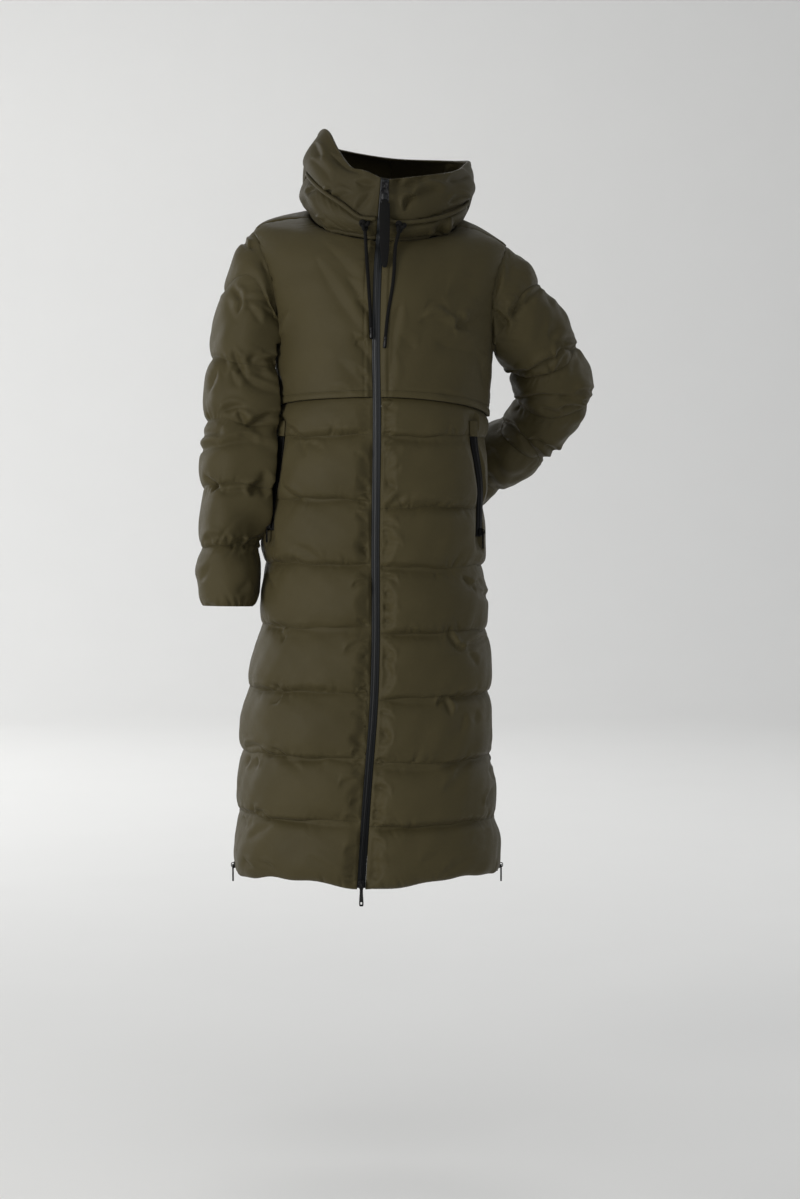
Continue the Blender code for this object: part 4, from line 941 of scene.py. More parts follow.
# -------------------- quilted lower body
def closer_at_ends(count, share=0.55):
    """Steps from 0 towards 1, closer together at both ends; the last one is left out."""
    step = np.linspace(0, 1, count, endpoint=False)
    return mix(step, 0.5 - 0.5 * np.cos(math.pi * step), share)


def closer_at_end(count, share):
    """Steps from 0 to 1 that grow closer together towards the end."""
    step = np.linspace(0, 1, count)
    return mix(step, np.sin(step * math.pi / 2), share)


LINE_WANDER = 0.0016


def quilt_line(number, turn):
    """Height of a stitched line, which wanders a little as it goes round the body."""
    right, left, back = (np.array(row)[number] for row in (QUILT_RIGHT, QUILT_LEFT, QUILT_BACK))
    side = np.where(np.cos(turn) < 0, right, left)
    height = mix(side, back, ease(np.sin(turn), 0.0, 0.5))
    wander = LINE_WANDER * np.sin(6.3 * turn + 2.1 * number)
    wander = wander + 0.0010 * np.sin(17 * turn + 1.3 * number)
    return height + wander


def quilt_height(channel, way, turn):
    """Height of a place in a channel: channel 0 starts under the yoke's lap."""
    above = quilt_line(np.maximum(channel - 1, 0), turn)
    top = np.where(channel == 0, yoke_height(turn) - 0.0008, above)
    bottom = quilt_line(channel, turn)
    return top + (bottom - top) * way, top, bottom


HEM_COLUMNS = ("x", "lift")
HEM_LIFT = ((-0.240, 0.002), (-0.210, 0.005), (-0.178, 0.011), (-0.124, 0.009), (-0.075, 0.008),
            (-0.032, 0.0), (0.014, 0.0), (0.089, 0.006), (0.121, 0.010), (0.168, 0.013),
            (0.197, 0.006), (0.220, 0.002))


def hem_lift(base, channel, way):
    """How far the hem is hitched up along the front: the padding holds it in soft scallops."""
    lift = column(HEM_LIFT, HEM_COLUMNS, "lift", base[..., 0]) * ease(-base[..., 1], 0.0, 0.05)
    return lift * ease(way, 0.1, 1.0) * (channel == len(QUILT_BACK) - 1)


def quilt_rows(count):
    """Channel number and way down it, for each row of the quilting."""
    channels = len(QUILT_BACK)
    way = np.r_[np.tile(closer_at_ends(count), channels), 1.0]
    channel = np.r_[np.repeat(np.arange(channels), count), channels - 1]
    return channel[:, None], way[:, None]


def fill_of(channel, way, turn):
    """Height of the padding in a channel, fuller at front and back than at the sides."""
    full = mix(CHANNEL_LOFT_SIDE, CHANNEL_LOFT_FRONT, np.abs(np.sin(turn)))
    return full * np.where(channel == 0, 0.6, 1.0) * pillow(way)


def running(grid):
    """Running length along each row of a grid of points."""
    steps = np.linalg.norm(np.diff(grid, axis=1), axis=-1)
    return np.concatenate((np.zeros((grid.shape[0], 1)), np.cumsum(steps, axis=1)), axis=1)


SLIT_HALF_WIDTH = 0.0066        # of the welted slit that a pocket zip lies in


def pocket_valley(pocket, height, along, turn):
    """Share of the padding left beside a pocket zip, which lies in a welted slit."""
    across = column(pocket, ("height", "across"), "across", height[:, :1])
    goal = turn_where(body, across, level_of(height[:, :1]))
    place = np.array([np.interp(g[0], t, s) if t[0] < t[-1] else np.interp(g[0], t[::-1], s[::-1])
                      for g, t, s in zip(goal, turn, along)])[:, None]
    sideward = np.sign(across) * np.sign(turn[:, -1:] - turn[:, :1])
    behind = (along - place) * sideward
    off = np.abs(behind)
    shut = np.where(behind > 0, ease(off, SLIT_HALF_WIDTH, 0.0110),
                    np.clip((off - SLIT_HALF_WIDTH) / 0.020, 0, 1))
    slit = 0.08 + 0.92 * shut
    there = ease(height, pocket[0][0] - 0.030, pocket[0][0] - 0.004)
    there = there * (1 - ease(height, pocket[-1][0] + 0.004, pocket[-1][0] + 0.020))
    return mix(1.0, slit, there), off, there


PUCKER_DEPTH = (0.0026, 0.0036)         # under a stitched line and above it


def quilted_panel(name, channel, way, turn, share, relief, seed):
    """Quilted wall on the body: share scales the padding and relief is added to it."""
    height, top, bottom = quilt_height(channel, way, turn)
    level = level_of(height)
    base = body(turn, level)
    normal = normal_of(body, turn, level)
    along = running(base)
    share = share(base, height, along)
    fill = fill_of(channel, way, turn) * share
    soft = np.clip(fill / SOFT_FROM, 0, 1)
    lumps = 0.0019 * swell(base * (0.6, 1.0, 1.0), 0.085, seed)
    lumps = lumps + 0.0006 * swell(base, 0.032, seed + 1)
    drawn = np.zeros(height.shape)
    for k in range(len(QUILT_BACK)):
        rows = (channel == k)[:, 0]
        length = float(along[rows].max())
        for part, away in ((0, top - height), (1, height - bottom)):
            if k == 0 and part == 0:
                continue
            depth = PUCKER_DEPTH[part]
            drawn[rows] += gathers(along[rows], away[rows], length, depth, seed + 17 * k + part,
                                   clusters=2 + int(length * 6))
    total = held_back(fill + (lumps + drawn) * soft + relief(base, height, along))
    hitch = points(0.0, 0.0, hem_lift(base, channel, way))
    outer = base + normal * total[..., None] + hitch
    inner = base - normal * LINING + hitch
    per = int(np.sum(channel == 0))
    SEAMS.extend(outer[k * per] + normal[k * per] * THREAD_LIFT for k in range(1, len(QUILT_BACK)))
    return shell(name, outer, inner, [SHELL, INSIDE])


PLACKET = 0.011                 # the front edge's stitching lies this far from the tape


def front_panel(word, side, pocket, folds):
    """Quilted front panel, from the side seam to the zip."""
    channel, way = quilt_rows(36)
    rough = quilt_height(channel, way, np.full(way.shape, FRONT + side * 0.8))[0]
    edge = zip_edge(body, level_of(rough), side)
    vent = vent_turn(rough, True)
    seam = -math.pi + vent if side < 0 else -vent
    turn = seam + (edge - seam) * closer_at_end(132, 0.6)[None, :]
    seed = 100 if side < 0 else 200

    def zip_distance(base, height):
        return side * (base[..., 0] - zip_across(height)) - ZIP_HALF_WIDTH

    def share(base, height, along):
        uneven = 0.0035 * np.sin(height * 61 + seed) + 0.0025 * np.sin(height * 143 + 2 * seed)
        full_from, full_at = (0.001, 0.025) if side < 0 else (0.006, 0.024)
        placket = 0.26 + 0.74 * ease(zip_distance(base, height) + uneven, full_from, full_at)
        placket = placket * ease(zip_distance(base, height), 0.0, 0.005)
        beside_seam = 0.5 + 0.5 * ease(along, 0.0, SIDE_SEAM_SLACK)
        return placket * beside_seam * pocket_valley(pocket, height, along, turn)[0]

    def relief(base, height, along):
        off = zip_distance(base, height)
        length = -HEM_HEIGHT
        drawn = gathers(-height, np.abs(off - PLACKET), length, 0.0046, seed + 7, 0.017, 0.0080,
                        16, 0.12)
        drawn += gathers(-height, along, length, 0.0013, seed + 8, 0.020, 0.006, 10)
        welt = pocket_valley(pocket, height, along, turn)[1:]
        drawn = drawn * ease(off, 0.0, 0.006) * (1 - welt[1] * (1 - ease(welt[0], 0.008, 0.016)))
        folds_here = 0.82 * creases(base, folds) * ease(off, 0.0, 0.005)
        return drawn + folds_here * (1 - welt[1] * (1 - ease(welt[0], 0.006, 0.012)))

    made = quilted_panel("front_quilting_" + word, channel, way, turn, share, relief, seed)
    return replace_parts(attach(made, "coat"), "front_quilted_panel_" + word)


def back_panel():
    """Quilted back panel, from side seam to side seam."""
    channel, way = quilt_rows(27)
    rough = quilt_height(channel, way, np.full(way.shape, math.pi / 2))[0]
    vent = vent_turn(rough, False)
    turn = vent + (math.pi - 2 * vent) * np.linspace(0, 1, 205)[None, :]

    def share(base, height, along):
        far = along[:, -1:] - along
        return 0.5 + 0.5 * ease(np.minimum(along, far), 0.0, SIDE_SEAM_SLACK)

    def relief(base, height, along):
        far = along[:, -1:] - along
        drawn = gathers(-height, along, -HEM_HEIGHT, 0.0013, 308, 0.020, 0.006, 10)
        drawn += gathers(-height, far, -HEM_HEIGHT, 0.0013, 309, 0.020, 0.006, 10)
        return drawn + 1.2 * creases(base, BACK_FOLDS)

    made = quilted_panel("back_quilting", channel, way, turn, share, relief, 300)
    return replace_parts(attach(made, "coat"), "back_quilted_panel")


# -------------------- yoke
def yoke_rows():
    """Rows of the yoke: those under the armhole by their way up to it, the others by level."""
    beside = ARMHOLE_MIDDLE - ARMHOLE_HALF * np.cos(np.linspace(0, math.pi, 80))
    above = np.linspace(ARMHOLE_TOP, 1.0, 32)[1:]
    return closer_at_ends(38, 0.3)[:, None], np.r_[beside, above][:, None]


def yoke_wall(name, turn_of, edges_of, folds, seed):
    """Smooth padded yoke: its lower edge laps over the quilting."""
    below, above = yoke_rows()
    turn_below = turn_of(np.zeros(below.shape), below * ARMHOLE_BOTTOM - 0.07 * (1 - below))
    lap = level_of(yoke_height(turn_below))
    level_below = mix(lap, ARMHOLE_BOTTOM, below)
    opening = armhole_turn(above)
    turn_above = turn_of(opening, above)
    turn = np.concatenate((turn_below, turn_above))
    level = np.concatenate((level_below, np.broadcast_to(above, turn_above.shape)))
    base = body(turn, level)
    normal = normal_of(body, turn, level)
    rise = length_along(base, 0)
    rise = np.broadcast_to(rise[:, None], turn.shape)
    top = rise[-1:] - rise
    along = running(base)
    loft = YOKE_LOFT + YOKE_LAP * (1 - ease(rise, 0.004, 0.016))
    loft = loft - 0.0016 * np.exp(-((rise - YOKE_STITCH) / 0.0022) ** 2)
    loft = loft - 0.0012 * (1 - ease(top, 0.0, 0.006))
    loft, drawn = edges_of(base, level, along, rise, loft)
    lumps = 0.0013 * swell(base, 0.12, seed) + 0.0005 * swell(base, 0.04, seed + 1)
    drawn = drawn + gathers(along, top, float(along.max()), 0.0008, seed + 3, 0.019, 0.008)
    soft = ease(np.minimum(rise, top), 0.0, 0.02)
    total = held_back(loft + lumps * soft + drawn + creases(base, folds))
    held = int(np.argmin(np.abs(rise[:, 0] - YOKE_STITCH)))
    TOP_SEAMS.append((base[held] + normal[held] * (total[held] + THREAD_LIFT)[:, None])[1:-1])
    return shell(name, base + normal * total[..., None], base - normal * LINING, [SHELL, INSIDE])


def front_yoke(word, side, folds):
    seed = 400 if side < 0 else 440

    def turn_of(opening, level):
        seam = -math.pi + opening if side < 0 else -opening
        return seam + (zip_edge(body, level, side) - seam) * closer_at_end(124, 0.4)[None, :]

    def edges_of(base, level, along, rise, loft):
        off = side * (base[..., 0] - zip_across(base[..., 2])) - ZIP_HALF_WIDTH
        loft = mix(SEAM_LOFT, loft, ease(off, 0.0, 0.009))
        loft = loft - 0.0012 * np.exp(-((off - 0.0125) / 0.002) ** 2)
        arm = ease(level, 0.0, 0.06)
        loft = loft - arm * 0.0010 * (1 - ease(along, 0.0, 0.008))
        drawn = gathers(rise, along, 0.4, 0.0013, seed + 5, 0.017, 0.008, 6)
        drawn = drawn + gathers(rise, np.abs(off - 0.0115), 0.4, 0.0011, seed + 6, 0.016, 0.006, 8)
        return loft, drawn * ease(off, 0.0, 0.004)

    made = yoke_wall("front_yoke_cloth_" + word, turn_of, edges_of, folds, seed)
    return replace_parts(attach(made, "coat"), "front_yoke_" + word)


def back_yoke():
    def turn_of(opening, level):
        return opening + (math.pi - 2 * opening) * np.linspace(0, 1, 170)[None, :]

    def edges_of(base, level, along, rise, loft):
        near = np.minimum(along, along[:, -1:] - along)
        loft = loft - ease(level, 0.0, 0.06) * 0.0010 * (1 - ease(near, 0.0, 0.008))
        return loft, gathers(rise, near, 0.4, 0.0011, 485, 0.017, 0.009, 5)

    made = yoke_wall("back_yoke_cloth", turn_of, edges_of, YOKE_FOLDS_BACK, 480)
    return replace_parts(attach(made, "coat"), "back_yoke")


# -------------------- sleeves
# How far a sleeve's stitched line strays up it, in rings: at the front, inner side and back.
SEAM_STRAY = {
    "right": {1: (-0.62, -0.93, -0.5), 2: (0.0, -0.22, 0.05)},
    "left": {1: (-0.40, -0.90, -0.4), 2: (0.02, 0.0, 0.05)},
}


def sleeve_line(table, ring):
    """Outer edge, inner edge and half depth of a sleeve at rings."""
    value = {name: column(table, SLEEVE_COLUMNS, name, ring) for name in SLEEVE_COLUMNS[1:]}
    outer = points(value["out_x"], value["y"], value["out_z"])
    inner = points(value["in_x"], value["y"], value["in_z"])
    return outer, inner, value["half_depth"]


def plain_sleeve(table, ring, turn):
    """Point of the sleeve's stitched outline at a ring."""
    outer, inner, half_depth = sleeve_line(table, ring)
    step = 0.05
    ahead = sum(sleeve_line(table, ring + step)[:2])
    behind = sum(sleeve_line(table, ring - step)[:2])
    run = unit(ahead - behind)
    reach = (outer - inner) / 2
    forward = unit(np.cross(run, reach))
    forward = np.where(forward[..., 1:2] > 0, -forward, forward)
    return ((outer + inner) / 2 + reach * np.sin(turn)[..., None]
            + forward * (half_depth * np.cos(turn))[..., None])


def armhole_place(side, turn, loft):
    """Point over the armhole edge; the turn is -90 degrees at the armpit and 90 at the shoulder."""
    level = ARMHOLE_MIDDLE + ARMHOLE_HALF * np.sin(turn)
    lean = ARMHOLE_HALF_TURN * np.cos(turn)
    place = math.pi + lean if side < 0 else -lean
    return body(place, level) + normal_of(body, place, level) * loft


def clear_of_body(place, clearance):
    """Move points of a sleeve level out of the body's side until they just clear it."""
    height = np.minimum(place[..., 2], ARMPIT_HEIGHT)
    right = column(BODY, BODY_COLUMNS, "right", height) - CHANNEL_LOFT_SIDE - clearance
    left = column(BODY, BODY_COLUMNS, "left", height) + CHANNEL_LOFT_SIDE + clearance
    reach = np.where(place[..., 1] > 0, np.abs(column(BODY, BODY_COLUMNS, "back", height)),
                     np.abs(column(BODY, BODY_COLUMNS, "front", height)))
    reach = reach + CHANNEL_LOFT_FRONT + clearance
    middle = (left + right) / 2
    power = 2 / SECTION_POWER
    inside = (np.abs((place[..., 0] - middle) / ((left - right) / 2)) ** power
              + np.abs(place[..., 1] / reach) ** power)
    crowded = (inside < 1) & (place[..., 2] <= ARMPIT_HEIGHT + 0.02)
    grow = np.where(crowded, np.maximum(inside, 1e-6) ** (-1 / power), 1.0)
    return points(middle + (place[..., 0] - middle) * grow, place[..., 1] * grow, place[..., 2])


SLEEVE_CHANNELS = 6
SLEEVE_ROWS = 36                # rows of points down each channel of a sleeve
SLEEVE_SHIFT = 0.024            # the hanging sleeve's inner side lies this far in towards the body
PULL_SWING_PLACE = points(-0.194, -0.088, -0.505)       # where the right pocket's pull swings out
PULL_SWING_REACH = 0.034
PULL_SWING_ROOM = 0.028         # how far back the sleeve's cloth lies there


def beside_pull(places):
    """Cloth of the hanging sleeve lies back a little where the pocket's pull swings."""
    near = np.exp(-np.sum(((places - PULL_SWING_PLACE) / PULL_SWING_REACH) ** 2, axis=-1))
    return places + points(0.0, PULL_SWING_ROOM * near, 0.0)


def sleeve(word, side, table, folds, seed):
    """Padded sleeve in one tube from the armhole seam to the open cuff."""
    per, seams = SLEEVE_ROWS, SLEEVE_CHANNELS
    step = np.r_[np.tile(closer_at_ends(per), seams) + np.repeat(np.arange(seams), per), seams]
    turn = np.linspace(-math.pi / 2, 1.5 * math.pi, 184, endpoint=False)[None, :]

    def line(k):
        front, inner, back = SEAM_STRAY[word].get(k, (0.0, 0.0, 0.0))
        stray = front * np.maximum(np.cos(turn), 0) + back * np.maximum(-np.cos(turn), 0)
        stray = stray + (inner - 0.3 * (front + back)) * np.maximum(-np.sin(turn), 0) ** 2
        wander = 0.028 * np.sin(2 * turn + 1.7 * k + seed) + 0.014 * np.sin(5 * turn + 2.9 * k)
        return np.maximum(k + stray + wander * (0 < k < seams), 0.06 * (k > 0))

    lines = np.concatenate([line(k) for k in range(seams + 1)])
    low = np.minimum(np.floor(step), seams - 1).astype(int)
    ring = mix(lines[low], lines[low + 1], (step - low)[:, None])
    wide = lines[low + 1] - lines[low]
    turn = np.broadcast_to(turn, ring.shape)
    way = (step - low)[:, None]
    seam = low[:, None]
    base = plain_sleeve(table, ring, turn)
    armhole = armhole_place(side, turn, YOKE_LOFT)
    start = armhole - plain_sleeve(table, np.zeros(ring.shape), turn)
    base = base + start * (1 - ease(ring, 0.0, 1.6))[..., None]
    centre = sum(sleeve_line(table, ring)[:2]) / 2
    away = unit(base - centre)
    crowd = np.where(ring < 1.6, 0.45 + 0.55 * ease(np.sin(turn), -1.0, 0.2), 1.0)
    crowd = crowd * np.where(seam == 0, ease(way, -0.05, 0.75), 1.0)
    fill = SLEEVE_LOFT * pillow(way) * crowd * np.clip(wide * 1.2, 0.15, 1.0) ** 0.6
    along = running(np.concatenate((base, base[:, :1]), axis=1))[:, :-1]
    rise = length_along(base, 0)
    lines = np.interp(np.arange(seams + 1), step, rise)
    inner_side = 0.5 + 0.8 * np.exp(-((turn + 0.9) / 0.8) ** 2)
    drawn = np.zeros(ring.shape)
    for k in range(seams):
        rows = (seam == k)[:, 0]
        length = float(along[rows].max())
        up = np.broadcast_to((rise[rows] - lines[k])[:, None], along[rows].shape)
        down = np.broadcast_to((lines[k + 1] - rise[rows])[:, None], along[rows].shape)
        drawn[rows] += gathers(along[rows], up, length, 0.0042 if k else 0.0016,
                               seed + 11 * k, 0.018, 0.012, 5)
        drawn[rows] += gathers(along[rows], down, length, 0.0052,
                               seed + 11 * k + 5, 0.018, 0.014, 5)
    drawn = drawn * inner_side
    lumps = 0.0022 * swell(base, 0.075, seed) + 0.0010 * swell(base, 0.032, seed + 1)
    shaped = creases(base, folds) * (0.8 + 0.2 * ease(np.cos(turn), -0.35, 0.05))
    soft = np.clip(fill / 0.004, 0, 1)
    lift = fill + (lumps + drawn) * soft + shaped * ease(step, 0.0, 0.25)[:, None]
    closing = (ease(step, 0.4, 1.0) * (1 - ease(step, 4.4, 5.2)))[:, None]
    closing = SLEEVE_SHIFT * (side < 0) * closing * np.exp(-((turn + 0.85) / 0.5) ** 2)
    outer = base + away * lift[..., None] + points(closing, 0.0, 0.0)
    clearance = SLEEVE_CLEARANCE * ease(step, 0.0, 0.4) - 0.004 * (1 - ease(step, 0.0, 0.25))
    outer = clear_of_body(outer, clearance[:, None])
    tucked = (armhole_place(side, turn, 0.0) - armhole)[:1] + away[:1] * 0.0012
    for row, share in enumerate((0.60, 0.34, 0.18, 0.09, 0.04)):
        outer[row] += (tucked * share)[0]
    inner = outer - away * (LINING + fill * 0.9 + 0.0012)[..., None]
    for k in range(1, seams):
        row = outer[k * per] + away[k * per] * THREAD_LIFT
        SEAMS.append(np.vstack((row, row[:1])))
    if side < 0:
        outer, inner = beside_pull(outer), beside_pull(inner)
    made = shell("sleeve_cloth_" + word, outer, inner, [SHELL, INSIDE], tube=True)
    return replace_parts(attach(made, "coat"), "sleeve_front_" + word, "sleeve_back_" + word)


# -------------------- collar and hood
def collar():
    """Neck band: a soft roll under the tunnel, pulled into short folds."""
    rise = np.linspace(0, 1, 34)[:, None]
    first = zip_edge(collar_band, rise, 1)
    last = zip_edge(collar_band, rise, -1) + 2 * math.pi
    turn = first + (last - first) * np.linspace(0, 1, 260)[None, :]
    rise = np.broadcast_to(rise, turn.shape)
    base = collar_band(turn, rise)
    normal = normal_of(collar_band, turn, rise)
    along = running(base)
    up = length_along(base, 0)[:, None]
    up = np.broadcast_to(up, turn.shape)
    down = up[-1:] - up
    off = off_zip(base)
    near = ease(np.where(np.sin(turn) < 0, off, 1.0), 0.0, 0.012)
    loft = COLLAR_SKIN * (0.35 + 0.65 * near) - 0.0022 * (1 - ease(np.minimum(up, down), 0, 0.006))
    length = float(along.max())
    drawn = gathers(along, up, length, 0.0020, 601, 0.022, 0.010, 6)
    drawn = drawn + gathers(along, down, length, 0.0020, 602, 0.022, 0.010, 6)
    lumps = 0.0014 * swell(base, 0.06, 603)
    facing = ease(-base[..., 1], -0.01, 0.03)
    loft = loft - 0.0018 * (1 - ease(down, 0.002, 0.014)) * near
    total = held_back(loft + (drawn + lumps + 1.4 * creases(base, COLLAR_FOLDS) * facing) * near)
    outer = base + normal * total[..., None]
    inner = base - normal * LINING
    tuck = np.linspace(1, 0, 7)[:-1, None, None]
    drop = points(0.0, 0.0, -0.0078)
    outer = np.concatenate((outer[:1] + (drop - normal[:1] * 0.0030 * tuck) * tuck, outer))
    inner = np.concatenate((inner[:1] + drop * 0.6 * tuck, inner))
    flange = (points(0.0, 0.0, 0.009) - normal[-1:] * 0.005) * np.linspace(0, 1, 5)[1:, None, None]
    outer = np.concatenate((outer, outer[-1:] + flange))
    inner = np.concatenate((inner, inner[-1:] + flange))
    made = shell("neck_band", outer, inner, [SHADED_HOOD_SHELL, INSIDE])
    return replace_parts(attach(made, "coat"), "collar_band")


def hood_half(word, side, seed):
    """Half of the hood: padded wall, rounded over at the face opening."""
    rise = np.r_[closer_at_ends(100, 0.4), 1.0][:, None]
    front = zip_edge(hood, rise, side)
    back = np.full(rise.shape, math.pi / 2)
    first, last = (front, back) if side > 0 else (back, front + 2 * math.pi)
    turn = first + (last - first) * np.linspace(0, 1, 176)[None, :]
    rise = np.broadcast_to(rise, turn.shape)
    base = hood(turn, rise)
    normal = normal_of(hood, turn, rise)
    wall = mix(HOOD_FRONT_WALL, HOOD_BACK_WALL, ease(np.sin(turn), -0.6, 0.1))
    along = running(base)
    up = length_along(base, 0)[:, None]
    up = np.broadcast_to(up, turn.shape)
    down = up[-1:] - up
    off = off_zip(base)
    near = ease(np.where(np.sin(turn) < -0.6, off, 1.0), 0.0, 0.014)
    lumps = 0.0016 * swell(base, 0.075, seed) + 0.0007 * swell(base, 0.03, seed + 1)
    drawn = gathers(along, up, float(along.max()), 0.0022, seed + 2, 0.020, 0.012, 5)
    folds = 1.5 * creases(base, HOOD_FOLDS) * ease(-base[..., 1], -0.02, 0.03)
    beside = ease(np.abs(base[..., 0] - 0.03), 0.04, 0.09)
    folds = folds + 1.3 * creases(base, HOOD_SIDE_FOLDS, (1, 2)) * beside
    folds = folds + 1.5 * creases(base, HOOD_BACK_FOLDS) * ease(base[..., 1], 0.11, 0.17)
    total = (lumps + drawn + folds) * near * ease(down, 0.0, 0.012)
    total = total - 0.0022 * near * (1 - ease(up, 0.0, 0.006))
    lip = np.clip(1 - down / (0.55 * wall), 0, 1)
    round_over = 1 - np.sqrt(np.maximum(1 - lip * lip, 0.0))
    outer = base + normal * (total - wall * 0.5 * round_over)[..., None]
    inner_lumps = 0.0012 * swell(base, 0.07, seed + 4) * near
    inner = base - normal * (wall * (1 - 0.5 * round_over) - inner_lumps * (1 - lip))[..., None]
    seam = sloping_ring(TUNNEL, turn[:1]) - points(0.0, 0.0, TUNNEL_SLOT + 0.002)
    share = np.linspace(1, 0, 7)[:-1, None, None]
    outer = np.concatenate((mix(outer[:1], seam - around(turn[:1]) * 0.0020, share), outer))
    inner = np.concatenate((mix(inner[:1], seam - around(turn[:1]) * 0.0045, share), inner))
    made = shell("hood_cloth_" + word, outer, inner, [SHADED_HOOD_SHELL], coarse=2)
    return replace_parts(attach(made, "coat"), "hood_" + word)


front_panel("right", -1, POCKET_RIGHT, FRONT_FOLDS_RIGHT)
front_panel("left", 1, POCKET_LEFT, FRONT_FOLDS_LEFT)
back_panel()
front_yoke("right", -1, YOKE_FOLDS_RIGHT)
front_yoke("left", 1, YOKE_FOLDS_LEFT)
back_yoke()
sleeve("right", -1, SLEEVE_RIGHT, SLEEVE_FOLDS_RIGHT, 500)
sleeve("left", 1, SLEEVE_LEFT, SLEEVE_FOLDS_LEFT, 550)
collar()
hood_half("left", 1, 700)
hood_half("right", -1, 750)


# -------------------- tubes, cords and strips
def smooth_route(route, step):
    """Evenly stepped points on a smooth curve through the route's own points."""
    route = np.asarray(route, dtype=float)
    ends = np.vstack((route[0] * 2 - route[1], route, route[-1] * 2 - route[-2]))
    t = (np.arange(24) / 24)[:, None]
    fine = [0.5 * (2 * b + (c - a) * t + (2 * a - 5 * b + 4 * c - d) * t * t
                   + (3 * b - a - 3 * c + d) * t ** 3)
            for a, b, c, d in zip(ends, ends[1:], ends[2:], ends[3:])]
    fine = np.vstack(fine + [route[-1:]])
    way = way_along(fine)
    goals = np.linspace(0, way[-1], max(int(way[-1] / step), 2) + 1)
    return np.stack([np.interp(goals, way, fine[:, i]) for i in range(3)], axis=-1)


def frames_along(route):
    """Direction, side and lift at each point of a route, carried along it without twist."""
    run = unit(np.gradient(route, axis=0))
    side = np.empty_like(route)
    first = np.cross(run[0], (0.31, 0.87, 0.39))
    side[0] = first / np.linalg.norm(first)
    for i in range(1, len(route)):
        carried = side[i - 1] - run[i] * (side[i - 1] @ run[i])
        side[i] = carried / np.linalg.norm(carried)
    return run, side, np.cross(run, side)


def tube_faces(rows, count):
    """Numbers of the points of a tube, row by row, and the faces that join them."""
    number = np.arange(rows * count).reshape(rows, count)
    ahead = np.roll(number, -1, axis=1)
    faces = np.stack((number[:-1], ahead[:-1], ahead[1:], number[1:]), axis=-1)
    return number, faces.reshape(-1, 4).tolist()


def round_cord(name, route, radius, finish, around_count=20, closed_ends=True):
    """Tube mesh along a route; radius is one number or one for each point of the route."""
    route = np.asarray(route, dtype=float)
    radius = np.broadcast_to(radius, (len(route),))
    _, side, lift = frames_along(route)
    angle = np.linspace(0, 2 * math.pi, around_count + 1)[:-1]
    out = side[:, None] * np.cos(angle)[:, None] + lift[:, None] * np.sin(angle)[:, None]
    rings = route[:, None] + radius[:, None, None] * out
    number, faces = tube_faces(len(route), around_count)
    places = rings.reshape(-1, 3)
    along = way_along(route)
    uv = np.stack(np.meshgrid(angle * radius.mean(), along), axis=-1).reshape(-1, 2)
    if closed_ends:
        caps = np.array((route[0], route[-1]))
        places = np.vstack((places, caps))
        uv = np.vstack((uv, ((0, 0), (0, along[-1]))))
        start = number.size
        for i in range(around_count):
            k = (i + 1) % around_count
            faces.append((start, int(number[0, k]), int(number[0, i])))
            faces.append((start + 1, int(number[-1, i]), int(number[-1, k])))
    return make_object(name, places, faces, [finish], uv)


def joined(name, pieces):
    """One object from several, with their finishes and maps kept."""
    slots = []
    places = []
    faces = []
    uvs = []
    numbers = []
    for piece in pieces:
        mesh = piece.data
        start = len(places)
        move = piece.matrix_basis
        places += [tuple(move @ v.co) for v in mesh.vertices]
        own = list(mesh.materials)
        slots += [finish for finish in own if finish not in slots]
        layer = mesh.uv_layers.get("cloth")
        for face in mesh.polygons:
            faces.append([start + v for v in face.vertices])
            numbers.append(slots.index(own[face.material_index]))
            uvs += [tuple(layer.data[i].uv) if layer else (0.0, 0.0) for i in face.loop_indices]
        bpy.data.objects.remove(piece, do_unlink=True)
        bpy.data.meshes.remove(mesh)
    mesh = bpy.data.meshes.new(name)
    mesh.from_pydata(places, [], faces)
    for finish in slots:
        mesh.materials.append(finish)
    layer = mesh.uv_layers.new(name="cloth")
    layer.data.foreach_set("uv", np.asarray(uvs, dtype=np.float32).ravel())
    mesh.polygons.foreach_set("material_index", np.asarray(numbers, dtype=np.int32))
    mesh.shade_smooth()
    mesh.update()
    return placed(name, mesh)


# -------------------- tunnel and drawcords
TUNNEL_STAND = 0.0024           # how far the stuffed tube stands out from the solid's own line
TUNNEL_STUFFING = 0.0009
KNOT_FULLNESS = 1.15


def tunnel():
    """Piped tunnel round the neck: a stuffed tube pinched along its seam."""
    first = float(zip_edge(hood, 0.0, 1)) + TUNNEL_END_TURN
    last = float(zip_edge(hood, 0.0, -1)) + 2 * math.pi - TUNNEL_END_TURN
    turn = np.linspace(first, last, 300)
    route = settled(sloping_ring(TUNNEL, turn) + around(turn) * (TUNNEL_PROUD + TUNNEL_STAND))
    length = way_along(route)
    pinch = np.sin(length * 1100 + 2.0 * np.sin(length * 170)) ** 2
    radius = (TUNNEL_RADIUS + TUNNEL_STUFFING) * (1.0 - 0.07 * pinch)
    radius = radius + 0.0002 * swell(route, 0.02, 801)
    ends = np.minimum(length, length[-1] - length)
    radius = radius * np.sqrt(np.clip(ends / 0.002, 0.15, 1.0))
    made = round_cord("piped_tunnel", route, radius, SHADED_HOOD_SHELL, 14)
    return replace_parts(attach(made, "coat"), "drawcord_tunnel")


